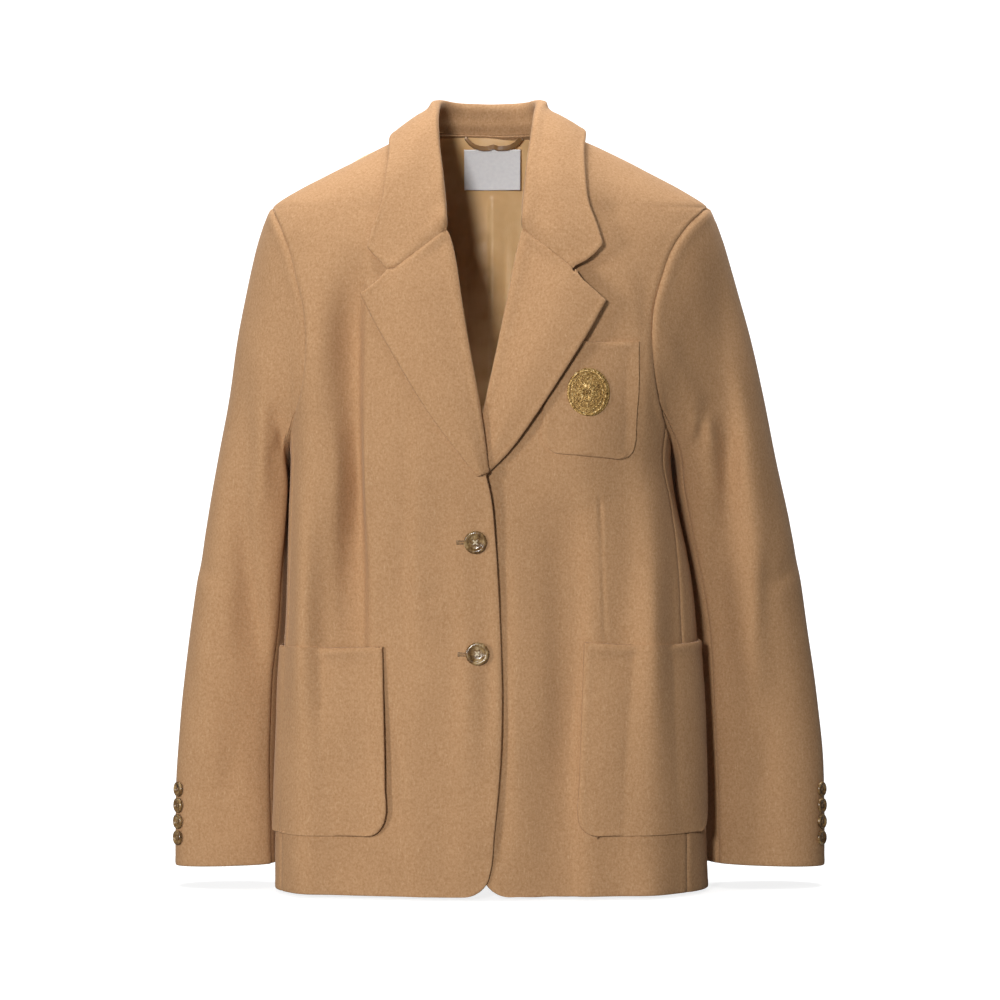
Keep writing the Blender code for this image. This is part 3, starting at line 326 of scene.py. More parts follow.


# ---- the cloth's own form: listed creases, a low unevenness, seams and edges

drape = {
    "seed": 7,
    "waves": ({"size": 0.150, "height": 0.00055, "upright": 0.45, "count": 9},
              {"size": 0.055, "height": 0.00022, "upright": 0.55, "count": 12}),
}


def unevenness(points):
    rng = np.random.default_rng(drape["seed"])
    total = np.zeros(points.shape[:2])
    for wave in drape["waves"]:
        for _ in range(wave["count"]):
            direction = rng.normal(size=3) * (1.0, 1.0, wave["upright"])
            direction /= np.linalg.norm(direction)
            size = wave["size"] * rng.uniform(0.6, 1.5)
            turn = points @ direction * (2.0 * math.pi / size) + rng.uniform(0.0, 2.0 * math.pi)
            total += np.sin(turn) * wave["height"] * math.sqrt(2.0 / wave["count"])
    return total


# creases are pressed in mostly along Y, so that they stay where they are seen; width and depth waver along
# them by a share, so many turns, starting at so much of the width
creasing = {"drift": 0.25, "widthWavers": (0.25, 9.0, 40.0), "depthWavers": (0.30, 13.0, 70.0),
            "shoulder": 0.30, "shoulderWide": 2.4, "turnedFrom": 0.15, "turnedOver": 0.40}


def wavering(share, wide, wave):
    much, turns, start = wave
    return 1.0 + much * np.sin(turns * share + start * wide)


def creaseHeight(points, normals, creases):
    # each crease is a line in X and Z on one face of the garment, soft at both ends
    total = np.zeros(points.shape[:2])
    flat = points[:, :, (0, 2)]
    for crease in creases:
        line = np.array(crease["line"])
        lengths = np.linalg.norm(np.diff(line, axis=0), axis=1)
        nearest = np.full(points.shape[:2], 1.0)
        share = np.zeros(points.shape[:2])
        sideways = np.zeros(points.shape[:2])
        for k, length in enumerate(lengths):
            step = (line[k + 1] - line[k]) / length
            along = np.clip((flat - line[k]) @ step, 0.0, length)
            away = np.linalg.norm(flat - line[k] - along[:, :, None] * step, axis=2)
            closer = away < nearest
            nearest = np.where(closer, away, nearest)
            share = np.where(closer, (lengths[:k].sum() + along) / lengths.sum(), share)
            off = (flat[:, :, 1] - line[k, 1]) * step[0] - (flat[:, :, 0] - line[k, 0]) * step[1]
            sideways = np.where(closer, off, sideways)
        wide = crease["wide"] * wavering(share, crease["wide"], creasing["widthWavers"])
        wide = wide * (1.0 - crease["lean"] * np.tanh(2.0 * sideways / crease["wide"]))
        form = bell(nearest, wide) - creasing["shoulder"] * bell(nearest, creasing["shoulderWide"] * wide)
        ends = ease(share / crease["fade"]) * ease((1.0 - share) / crease["fade"])
        turned = -normals[:, :, 1] * crease["face"] + creasing["turnedFrom"]
        deep = crease["deep"] * wavering(share, crease["wide"], creasing["depthWavers"])
        total -= deep * form * ends * ease(turned / creasing["turnedOver"])
    return total


edges = {
    "seam": {"groove": 0.0008, "width": 0.0016, "puff": 0.00030, "puffAt": 0.0055, "puffWidth": 0.0032},
    "free": {"round": 0.0011, "drop": 0.0008, "ridge": 0.00022, "ridgeAt": 0.0042, "ridgeWidth": 0.0026},
    "sewn": {"round": 0.0028, "drop": 0.0020, "ridge": 0.00045, "ridgeAt": 0.0050, "ridgeWidth": 0.0026},
    "label": {"round": 0.0006, "drop": 0.0004, "ridge": 0.00015, "ridgeAt": 0.0014, "ridgeWidth": 0.0010},
    "thick": {"round": 0.0016, "drop": 0.0010, "ridge": 0.00050, "ridgeAt": 0.0032, "ridgeWidth": 0.0020},
}


def edgeHeight(distance, sewnTo, kind):
    # distance from a border, and how far that border is a seam (1) or a free edge (0)
    seam = edges["seam"]
    joined = (-seam["groove"] * bell(distance, seam["width"])
              + seam["puff"] * bell(distance - seam["puffAt"], seam["puffWidth"]))
    rim = edges[kind]
    turned = np.clip(1.0 - distance / rim["round"], 0.0, 1.0)
    loose = (-rim["drop"] * (1.0 - np.sqrt(1.0 - turned ** 2))
             + rim["ridge"] * bell(distance - rim["ridgeAt"], rim["ridgeWidth"]))
    return joined * sewnTo + loose * (1.0 - sewnTo)


# ---- seams: two borders that lie close are brought together

sewing = {"passes": 3, "easeIn": 0.010, "fullShare": 0.6, "endShare": 0.25, "least": 0.0028}


def bordersOf(points):
    return {"left": points[0], "right": points[-1], "low": points[:, 0], "high": points[:, -1]}


def nearestOn(points, line, facing):
    # the nearest spot of a line to each point, its distance and its normal
    steps = line[1:] - line[:-1]
    share = ((points[:, None] - line[None, :-1]) * steps[None]).sum(2) / ((steps ** 2).sum(1) + 1e-18)
    share = np.clip(share, 0.0, 1.0)
    spots = line[:-1] + share[:, :, None] * steps
    far = np.linalg.norm(points[:, None] - spots, axis=2)
    best = far.argmin(1)
    every = np.arange(len(points))
    t = share[every, best][:, None]
    pastEnd = ((best == 0) & (t[:, 0] == 0.0)) | ((best == len(steps) - 1) & (t[:, 0] == 1.0))
    return far[every, best], spots[every, best], facing[best] * (1.0 - t) + facing[best + 1] * t, pastEnd


def fallOff(distance):
    return 1.0 - ease(distance / sewing["easeIn"])


def distancesTo(points):
    across = walked(points, 0)
    up = walked(points, 1)
    return {"left": across, "right": across[-1:] - across, "low": up, "high": up[:, -1:] - up}


def spreadIn(points, along):
    # what is known along the four borders, faded into the sheet
    away = distancesTo(points)
    total = np.zeros_like(points)
    weights = np.zeros(points.shape[:2])
    for name, values in along.items():
        weight = fallOff(away[name])
        total += weight[:, :, None] * (values[None] if name in ("left", "right") else values[:, None])
        weights += weight
    return total / np.maximum(weights, 1.0)[:, :, None]


def sewnTo(node, looks, normals):
    # for each border of a piece: how far it moves, how far its normal turns, and its share of seam
    moves = {}
    turns = {}
    shares = {}
    for name, border in bordersOf(sheets[node]).items():
        own = bordersOf(normals[node])[name]
        closest = np.full(len(border), 1.0)
        move = np.zeros_like(border)
        turn = np.zeros_like(border)
        share = np.zeros(len(border))
        for other, look in looks.items():
            reach = looks[node]["sewTo"].get(look["group"], 0.0)
            if other == node or reach == 0.0:
                continue
            facings = bordersOf(normals[other])
            for edge, line in bordersOf(sheets[other]).items():
                far, spot, facing, pastEnd = nearestOn(border, line, facings[edge])
                limit = np.where(pastEnd, max(reach * sewing["endShare"], sewing["least"]), reach)
                part = 1.0 - ease((far / limit - sewing["fullShare"]) / (1.0 - sewing["fullShare"]))
                closer = (far < closest) & (part > 0.0)
                both = own + facing
                both /= np.maximum(np.linalg.norm(both, axis=1, keepdims=True), 1e-9)
                closest = np.where(closer, far, closest)
                pulled = looks[node]["pull"] * part[:, None] * (spot - border)
                move = np.where(closer[:, None], pulled, move)
                turn = np.where(closer[:, None], part[:, None] * (both - own), turn)
                share = np.where(closer, part, share)
        moves[name] = move
        turns[name] = turn
        shares[name] = share
    return moves, turns, shares


def sewShut(looks):
    for _ in range(sewing["passes"]):
        normals = {node: normalsOf(points) for node, points in sheets.items()}
        found = {node: sewnTo(node, looks, normals) for node in looks}
        for node, (moves, turns, shares) in found.items():
            facings[node] = normals[node] + spreadIn(sheets[node], turns)
            facings[node] /= np.linalg.norm(facings[node], axis=2, keepdims=True)
            seams[node] = shares
        for node, (moves, turns, shares) in found.items():
            sheets[node] = sheets[node] + spreadIn(sheets[node], moves)


# ---- materials

def ramp(tree, source, stops):
    node = tree.nodes.new("ShaderNodeValToRGB")
    bar = node.color_ramp.elements
    while len(bar) < len(stops):
        bar.new(0.5)
    for element, (place, colour) in zip(bar, stops):
        element.position = place
        element.color = (*colour, 1.0)
    tree.links.new(source, node.inputs["Fac"])
    return node.outputs["Color"]


def mixed(tree, how, factor, first, second):
    node = tree.nodes.new("ShaderNodeMix")
    node.data_type = "RGBA"
    node.blend_type = how
    if isinstance(factor, float):
        node.inputs[0].default_value = factor
    else:
        tree.links.new(factor, node.inputs[0])
    for value, socket in ((first, node.inputs[6]), (second, node.inputs[7])):
        if isinstance(value, tuple):
            socket.default_value = (*value, 1.0)
        else:
            tree.links.new(value, socket)
    return node.outputs[2]


def newMaterial(name, roughness, **sockets):
    made = bpy.data.materials.new(name)
    made.use_nodes = True
    shader = made.node_tree.nodes["Principled BSDF"]
    shader.inputs["Roughness"].default_value = roughness
    for key, value in sockets.items():
        shader.inputs[key.replace("_", " ")].default_value = value
    return made, made.node_tree, shader


def noiseOn(tree, vector, scale, detail=2.0, roughness=0.5):
    node = tree.nodes.new("ShaderNodeTexNoise")
    for name, value in (("Scale", scale), ("Detail", detail), ("Roughness", roughness)):
        node.inputs[name].default_value = value
    tree.links.new(vector, node.inputs["Vector"])
    return node.outputs["Fac"]


def bumpOn(tree, shader, height, strength, distance):
    node = tree.nodes.new("ShaderNodeBump")
    node.inputs["Strength"].default_value = strength
    node.inputs["Distance"].default_value = distance
    tree.links.new(height, node.inputs["Height"])
    tree.links.new(node.outputs["Normal"], shader.inputs["Normal"])


def addedTo(tree, first, times, second):
    # first, so many times, and second
    node = tree.nodes.new("ShaderNodeMath")
    node.operation = "MULTIPLY_ADD"
    node.inputs[1].default_value = times
    tree.links.new(first, node.inputs[0])
    tree.links.new(second, node.inputs[2])
    return node.outputs[0]


def objectCoordinates(tree):
    return tree.nodes.new("ShaderNodeTexCoord").outputs["Object"]


def grainGroup():
    # what every finish starts from: a cloudy tone, and a fine grain that may be stretched and turned
    group = bpy.data.node_groups.new("grain", "ShaderNodeTree")
    for name in ("Vector", "Stretch", "Turn"):
        group.interface.new_socket(name, in_out="INPUT", socket_type="NodeSocketVector")
    for name in ("Tone", "Fine"):
        for part in ("Scale", "Detail", "Roughness"):
            group.interface.new_socket(name + " " + part, in_out="INPUT", socket_type="NodeSocketFloat")
        group.interface.new_socket(name, in_out="OUTPUT", socket_type="NodeSocketFloat")
    given = group.nodes.new("NodeGroupInput").outputs
    result = group.nodes.new("NodeGroupOutput").inputs
    mapping = group.nodes.new("ShaderNodeMapping")
    for source, socket in (("Vector", "Vector"), ("Stretch", "Scale"), ("Turn", "Rotation")):
        group.links.new(given[source], mapping.inputs[socket])
    for name, vector in (("Tone", given["Vector"]), ("Fine", mapping.outputs["Vector"])):
        noise = group.nodes.new("ShaderNodeTexNoise")
        group.links.new(vector, noise.inputs["Vector"])
        for part in ("Scale", "Detail", "Roughness"):
            group.links.new(given[name + " " + part], noise.inputs[part])
        group.links.new(noise.outputs["Fac"], result[name])
    return group


grain = grainGroup()


def grainOn(tree, place, tone, fine, stretch=(1.0, 1.0, 1.0), turn=(0.0, 0.0, 0.0)):
    # tone and fine are a scale, a detail and a roughness
    node = tree.nodes.new("ShaderNodeGroup")
    node.node_tree = grain
    tree.links.new(place, node.inputs["Vector"])
    node.inputs["Stretch"].default_value = stretch
    node.inputs["Turn"].default_value = turn
    for name, values in (("Tone", tone), ("Fine", fine)):
        for part, value in zip(("Scale", "Detail", "Roughness"), values):
            node.inputs[name + " " + part].default_value = value
    return node.outputs["Tone"], node.outputs["Fine"]


wool = {
    "base": (0.446, 0.258, 0.131), "pale": (0.492, 0.294, 0.155), "deep": (0.392, 0.218, 0.103),
    "fibre": (0.660, 0.450, 0.270), "speck": (0.235, 0.112, 0.045),
    "mottle": (460.0, 3.0, 0.60), "nap": (900.0, 3.0, 0.60), "broad": 16.0, "specks": 560.0, "lumps": 380.0,
    # fibres: their noise, their weight, and how each set of them is stretched and turned
    "fibres": (900.0, 2.0, 0.5), "fibreShare": 0.34,
    "fibreSets": (((1.0, 1.0, 0.20), (0.3, 0.55, 0.0)), ((1.0, 1.0, 0.22), (-0.2, 0.80, 0.4))),
}


def woolMaterial():
    made, tree, shader = newMaterial("feltedWool", 0.93, Sheen_Weight=0.12, Sheen_Roughness=0.38,
                                     Sheen_Tint=(1.0, 0.84, 0.72, 1.0), Specular_IOR_Level=0.18)
    place = objectCoordinates(tree)
    mottle, nap = grainOn(tree, place, wool["mottle"], wool["nap"])
    colour = ramp(tree, mottle, ((0.32, wool["deep"]), (0.50, wool["base"]), (0.68, wool["pale"])))
    broad = ramp(tree, noiseOn(tree, place, wool["broad"]), ((0.3, (0.965, 0.96, 0.955)), (0.7, (1.0,) * 3)))
    colour = mixed(tree, "MULTIPLY", 1.0, colour, broad)
    for stretch, turn in wool["fibreSets"]:
        _, streak = grainOn(tree, place, wool["mottle"], wool["fibres"], stretch, turn)
        mask = ramp(tree, streak, ((0.60, (0.0,) * 3), (0.78, (wool["fibreShare"],) * 3)))
        colour = mixed(tree, "MIX", mask, colour, wool["fibre"])
    specks = ramp(tree, noiseOn(tree, place, wool["specks"]), ((0.24, (0.26,) * 3), (0.38, (0.0,) * 3)))
    colour = mixed(tree, "MIX", specks, colour, wool["speck"])
    tree.links.new(colour, shader.inputs["Base Color"])
    bumpOn(tree, shader, addedTo(tree, noiseOn(tree, place, wool["lumps"]), 1.2, nap), 0.40, 0.0004)
    return made


satin = {"lining": ((0.780, 0.480, 0.215), (0.860, 0.560, 0.275)),
         "loop": ((0.200, 0.100, 0.034), (0.300, 0.160, 0.060)),
         "tone": (40.0, 3.0, 0.5), "threads": (900.0, 1.0, 0.5), "along": (1.0, 1.0, 0.12), "soft": 60.0}


def satinMaterial(name, deep, base):
    made, tree, shader = newMaterial(name, 0.44, Sheen_Weight=0.20, Specular_IOR_Level=0.38)
    place = objectCoordinates(tree)
    tone, threads = grainOn(tree, place, satin["tone"], satin["threads"], satin["along"])
    tree.links.new(ramp(tree, tone, ((0.35, deep), (0.65, base))), shader.inputs["Base Color"])
    bumpOn(tree, shader, addedTo(tree, noiseOn(tree, place, satin["soft"]), 4.0, threads), 0.25, 0.0004)
    return made


horn = {
    "cloud": (130.0, 4.0, 0.6), "streak": (300.0, 3.0, 0.6), "along": (1.0, 1.0, 0.3),
    "turn": (0.0, 0.7, 0.0),
    "clouds": ((0.33, (0.050, 0.022, 0.007)), (0.47, (0.190, 0.105, 0.036)), (0.58, (0.330, 0.215, 0.090)),
               (0.72, (0.560, 0.420, 0.240))),
    "streaks": ((0.35, (0.45, 0.38, 0.30)), (0.6, (1.0, 1.0, 1.0))),
}


def hornMaterial():
    made, tree, shader = newMaterial("horn", 0.26, Specular_IOR_Level=0.5, Coat_Weight=0.35,
                                     Coat_Roughness=0.12, Subsurface_Weight=0.08,
                                     Subsurface_Radius=(0.002, 0.001, 0.0004))
    cloud, streak = grainOn(tree, objectCoordinates(tree), horn["cloud"], horn["streak"], horn["along"],
                            horn["turn"])
    clouds = ramp(tree, cloud, horn["clouds"])
    colour = mixed(tree, "MULTIPLY", 0.6, clouds, ramp(tree, streak, horn["streaks"]))
    tree.links.new(colour, shader.inputs["Base Color"])
    bumpOn(tree, shader, streak, 0.08, 0.0003)
    return made


# threads: the colours that their tone runs through, and the twist that is seen on them
twist = {"turn": (0.0, 0.8, 0.0)}
threadLooks = {
    # the badge's ground is close rows of dull gold thread; the dark end of its tone is painted shade in the
    # gaps between the rows
    "goldThread": {"roughness": 0.52, "sockets": {"Metallic": 0.35, "Specular_IOR_Level": 0.4},
                   "grain": {"tone": (800.0, 3.0, 0.7), "fine": (1500.0, 1.0, 0.5),
                             "stretch": (1.0, 1.0, 0.30), **twist},
                   # the darkest stop is painted shade between the rows of thread, not a colour of the thread
                   "stops": ((0.34, (0.070, 0.032, 0.007)), (0.46, (0.260, 0.142, 0.036)),
                             (0.58, (0.450, 0.275, 0.082)), (0.72, (0.740, 0.520, 0.230))),
                   "bump": (0.9, 0.0006)},
    "brightGoldThread": {"roughness": 0.42, "sockets": {"Metallic": 0.55, "Specular_IOR_Level": 0.5},
                         "grain": {"tone": (620.0, 2.0, 0.7), "fine": (3000.0, 1.0, 0.5),
                                   "stretch": (1.0, 1.0, 0.35), **twist},
                         "stops": ((0.36, (0.120, 0.058, 0.012)), (0.47, (0.430, 0.250, 0.068)),
                                   (0.56, (0.660, 0.430, 0.150)), (0.66, (0.940, 0.740, 0.400))),
                         "bump": (0.5, 0.0002)},
    "sewingThread": {"roughness": 0.6, "sockets": {"Sheen_Weight": 0.2},
                     "grain": {"tone": (500.0, 2.0, 0.5), "fine": (1800.0, 1.0, 0.5)},
                     "stops": ((0.35, (0.150, 0.080, 0.030)), (0.65, (0.300, 0.180, 0.080))),
                     "bump": (0.5, 0.0002)},
}
threadLooks["paleThread"] = {**threadLooks["sewingThread"],
                             "stops": ((0.35, (0.520, 0.410, 0.260)), (0.65, (0.740, 0.640, 0.470)))}


def threadMaterial(name):
    look = threadLooks[name]
    made, tree, shader = newMaterial(name, look["roughness"], **look["sockets"])
    tone, fine = grainOn(tree, objectCoordinates(tree), **look["grain"])
    tree.links.new(ramp(tree, tone, look["stops"]), shader.inputs["Base Color"])
    bumpOn(tree, shader, fine, *look["bump"])
    return made


label = {"tone": 300.0, "stops": ((0.3, (0.90, 0.90, 0.92)), (0.7, (0.97, 0.97, 0.98))), "weave": 520.0}


def labelMaterial():
    made, tree, shader = newMaterial("wovenLabel", 0.72, Sheen_Weight=0.1)
    place = objectCoordinates(tree)
    waves = []
    for direction in ("X", "Z"):
        wave = tree.nodes.new("ShaderNodeTexWave")
        wave.bands_direction = direction
        wave.inputs["Scale"].default_value = label["weave"]
        tree.links.new(place, wave.inputs["Vector"])
        waves.append(wave.outputs["Fac"])
    tone = noiseOn(tree, place, label["tone"], 3.0)
    tree.links.new(ramp(tree, tone, label["stops"]), shader.inputs["Base Color"])
    bumpOn(tree, shader, mixed(tree, "MULTIPLY", 1.0, *waves), 0.3, 0.0003)
    return made


def floorMaterial():
    # pale to look at, and dim to what stands on it, so that little light comes back up
    made, tree, shader = newMaterial("paleFloor", 0.9, Specular_IOR_Level=0.0)
    tones = [(studio["pale"] * share,) * 3 for share in (0.97, 1.0)]
    pale = ramp(tree, noiseOn(tree, objectCoordinates(tree), 3.0), ((0.3, tones[0]), (0.7, tones[1])))
    seen = tree.nodes.new("ShaderNodeLightPath").outputs["Is Camera Ray"]
    tree.links.new(mixed(tree, "MIX", seen, studio["bounce"], pale), shader.inputs["Base Color"])
    tree.links.new(mixed(tree, "MIX", seen, (0.0,) * 3, (1.0,) * 3), shader.inputs["Emission Color"])
    shader.inputs["Emission Strength"].default_value = studio["glow"]
    return made


materials = {"wool": woolMaterial(), "satin": satinMaterial("satinLining", *satin["lining"]),
             "loop": satinMaterial("loopSatin", *satin["loop"]), "horn": hornMaterial(),
             "gold_thread": threadMaterial("goldThread"), "label": labelMaterial(),
             "thread": threadMaterial("sewingThread"), "brightThread": threadMaterial("brightGoldThread"),
             "paleThread": threadMaterial("paleThread"), "floor": floorMaterial()}
print("stage: materials")

# ---- the cloth pieces
# spacing is across and up, in metres; flat is the cut size, its width and length, with its area

edgeLines = (0.0, 0.0005, 0.0011, 0.0019, 0.0030, 0.0046)

# each crease: its line in X and Z, its width and depth, how much of it fades at each end, and its lean


def creasesOf(rows, face=1.0):
    # face is 1 for the garment's front and -1 for its back
    columns = ("line", "wide", "deep", "fade", "lean")
    usual = (None, None, None, 0.25, 0.0)
    return [{**dict(zip(columns, row + usual[len(row):])), "face": face} for row in rows]


rightFrontCreases = creasesOf((
    # the fold that hangs from the chest beside the dart, its crest, its way to the hem, and the dart
    (((-0.121, -0.110), (-0.1275, -0.190), (-0.1255, -0.280), (-0.124, -0.400), (-0.123, -0.560)),
     0.0125, 0.021, 0.26, 0.52),
    (((-0.164, -0.140), (-0.172, -0.240), (-0.174, -0.400), (-0.176, -0.600), (-0.176, -0.820)),
     0.0175, -0.016, 0.2),
    (((-0.118, -0.440), (-0.102, -0.560), (-0.090, -0.700), (-0.088, -0.800)), 0.023, 0.007, 0.26, 0.4),
    (((-0.1195, -0.280), (-0.1195, -0.495)), 0.0016, 0.0014, 0.12),
    # soft lengthwise drape between the dart and the front edge
    (((-0.083, -0.240), (-0.082, -0.400), (-0.084, -0.520), (-0.084, -0.600)), 0.015, 0.0048, 0.3, 0.35),
    (((-0.026, -0.330), (-0.022, -0.450), (-0.020, -0.600), (-0.024, -0.740)), 0.018, -0.0042, 0.2, -0.25),
    (((-0.175, -0.395), (-0.145, -0.416), (-0.095, -0.424)), 0.0085, 0.001),
    (((-0.110, -0.436), (-0.060, -0.446), (-0.020, -0.430)), 0.009, 0.0009),
    (((-0.150, -0.060), (-0.110, -0.085), (-0.090, -0.120)), 0.014, 0.0008),
    # the edge that lies over the left front stands a little proud
    (((0.000, -0.345), (0.006, -0.462), (0.007, -0.560), (0.003, -0.690)), 0.009, -0.003, 0.18),
))
leftFrontCreases = creasesOf((
    (((0.070, -0.330), (0.076, -0.440), (0.078, -0.520), (0.069, -0.640), (0.066, -0.820)),
     0.0225, 0.0095, 0.18, 0.46),
    (((0.006, -0.400), (0.0115, -0.470), (0.012, -0.570), (0.0085, -0.700)), 0.005, 0.0045, 0.14, -0.55),
    (((0.1016, -0.346), (0.1042, -0.420), (0.1067, -0.488)), 0.0016, 0.0013, 0.12),
    (((0.154, -0.180), (0.153, -0.300), (0.151, -0.450), (0.151, -0.600), (0.152, -0.820)),
     0.022, -0.012, 0.16),
    (((0.140, -0.120), (0.152, -0.200), (0.155, -0.290), (0.150, -0.360)), 0.012, 0.003, 0.25, -0.2),
    (((0.030, -0.372), (0.080, -0.366), (0.150, -0.345)), 0.0085, 0.0008),
    (((0.150, -0.060), (0.110, -0.085), (0.092, -0.120)), 0.014, 0.0008),
))
backCreases = creasesOf((
    (((-0.120, -0.110), (-0.128, -0.220), (-0.118, -0.360)), 0.016, 0.0038),
    (((0.124, -0.115), (0.130, -0.230), (0.119, -0.350)), 0.017, 0.0034),
    (((-0.062, -0.300), (-0.066, -0.450), (-0.074, -0.650)), 0.019, 0.0026),
    (((0.058, -0.330), (0.069, -0.480), (0.080, -0.680)), 0.018, 0.003),
    (((-0.110, -0.385), (-0.020, -0.402), (0.080, -0.388)), 0.010, 0.0014),
    (((-0.070, -0.045), (0.000, -0.056), (0.074, -0.045)), 0.010, 0.0012),
), face=-1.0)
sleeveCreases = creasesOf((
    (((-0.240, -0.190), (-0.239, -0.330), (-0.234, -0.415), (-0.228, -0.470), (-0.220, -0.560),
      (-0.215, -0.680)), 0.018, 0.0085, 0.24, 0.3),
    (((-0.220, -0.190), (-0.217, -0.300), (-0.215, -0.430)), 0.011, -0.0046, 0.35),
    (((-0.274, -0.400), (-0.276, -0.500), (-0.278, -0.640)), 0.014, -0.0026),
    (((-0.205, -0.262), (-0.1995, -0.290), (-0.196, -0.325)), 0.007, 0.005, 0.35),
    (((-0.298, -0.400), (-0.270, -0.425), (-0.240, -0.432)), 0.011, 0.0014),
    (((-0.245, -0.540), (-0.250, -0.620), (-0.248, -0.690)), 0.015, 0.0022),
    (((0.210, -0.110), (0.218, -0.200), (0.2258, -0.290), (0.2245, -0.400), (0.2175, -0.470),
      (0.214, -0.580)), 0.016, 0.0092, 0.22, 0.12),
    (((0.244, -0.260), (0.253, -0.400), (0.251, -0.480), (0.250, -0.640)), 0.014, -0.0044, 0.25),
    (((0.206, -0.255), (0.200, -0.285), (0.197, -0.318)), 0.007, 0.0042, 0.35),
    (((0.305, -0.400), (0.280, -0.428), (0.245, -0.436)), 0.011, 0.0016),
    (((0.250, -0.520), (0.262, -0.610), (0.266, -0.690)), 0.015, 0.0024),
))
sleeveBackCreases = creasesOf((
    (((-0.245, -0.200), (-0.256, -0.340), (-0.262, -0.500)), 0.015, 0.0032),
    (((0.248, -0.190), (0.262, -0.330), (0.270, -0.480)), 0.015, 0.003),
    (((-0.290, -0.385), (-0.260, -0.410), (-0.225, -0.405)), 0.011, 0.0018),
    (((0.300, -0.380), (0.270, -0.408), (0.235, -0.402)), 0.011, 0.0018),
), face=-1.0)
pocketCreases = creasesOf((
    (((-0.118, -0.470), (-0.114, -0.580), (-0.112, -0.700)), 0.020, 0.004, 0.25, 0.4),
    (((-0.150, -0.520), (-0.146, -0.580), (-0.144, -0.650)), 0.015, 0.0012),
    (((0.128, -0.530), (0.133, -0.590), (0.131, -0.650)), 0.015, 0.0012),
    (((-0.200, -0.4965), (-0.150, -0.498), (-0.098, -0.4965)), 0.005, -0.0016),
    (((0.082, -0.4925), (0.140, -0.496), (0.190, -0.4925)), 0.005, -0.0016),
))
liningCreases = creasesOf((
    # folds of the lining on both sides of its centre pleat
    (((-0.022, -0.060), (-0.024, -0.200), (-0.020, -0.420)), 0.005, 0.0016),
    (((0.013, -0.060), (0.014, -0.180), (0.012, -0.360)), 0.004, 0.0022),
    (((0.026, -0.050), (0.028, -0.220), (0.030, -0.450)), 0.006, 0.0014),
    (((-0.046, -0.050), (-0.050, -0.240), (-0.060, -0.500)), 0.007, 0.0016),
    (((0.052, -0.080), (0.060, -0.260), (0.070, -0.520)), 0.008, 0.0016),
))
pleat = {"x": -0.0018, "rise": 0.0058, "step": 0.0008, "reach": 0.0120, "top": -0.054, "bottom": -0.690,
         "fades": (0.012, 0.030), "puckerSize": (0.0080, 0.0042), "puckerSlant": 0.25,
         "puckers": ((-0.098, 0.0013), (-0.132, 0.0016), (-0.148, 0.0010), (-0.176, 0.0018),
                     (-0.204, 0.0013), (-0.236, 0.0016), (-0.262, 0.0012))}
sleeveTop = {"rise": 0.0013, "from": -0.240, "over": 0.140, "at": 0.0065, "wide": 0.0045}
layGap = 0.0005     # under what lies on a panel
feel = 0.02         # how far to either side of a cloth a piece is felt for

bodyLook = {"wall": 0.0018, "shows": "outside", "spacing": (0.0030, 0.0042), "corner": (40.0, 40.0),
            "edge": "free", "creases": (), "material": "wool", "held": "hung", "loose": 1.0,
            "group": "body", "sewTo": {"body": 0.0028, "collar": 0.0045}, "pull": 0.5, "eased": False,
            "restsOn": (), "sink": 0.0}
sleeveLook = {**bodyLook, "creases": sleeveCreases + sleeveBackCreases, "eased": True}
collarLook = {**bodyLook, "spacing": (0.0026, 0.0016), "edge": "thick", "loose": 0.5, "held": "folded"}
lapelLook = {**collarLook, "wall": 0.0017, "spacing": (0.0016, 0.0026), "corner": (360.0, 360.0),
             "group": "lapel", "sewTo": {"collar": 0.0130}, "flat": (0.105, 0.240), "area": 0.0175}
pocketLook = {**bodyLook, "spacing": (0.0022, 0.0026), "edge": "sewn", "group": "patch", "sewTo": {},
              "creases": pocketCreases, "held": "laid"}
frontLook = {**bodyLook, "spacing": (0.0015, 0.0038)}
plateLook = {**bodyLook, "spacing": (0.0010, 0.0010), "corner": (360.0, 360.0), "edge": "label", "sewTo": {},
             "held": "laid"}

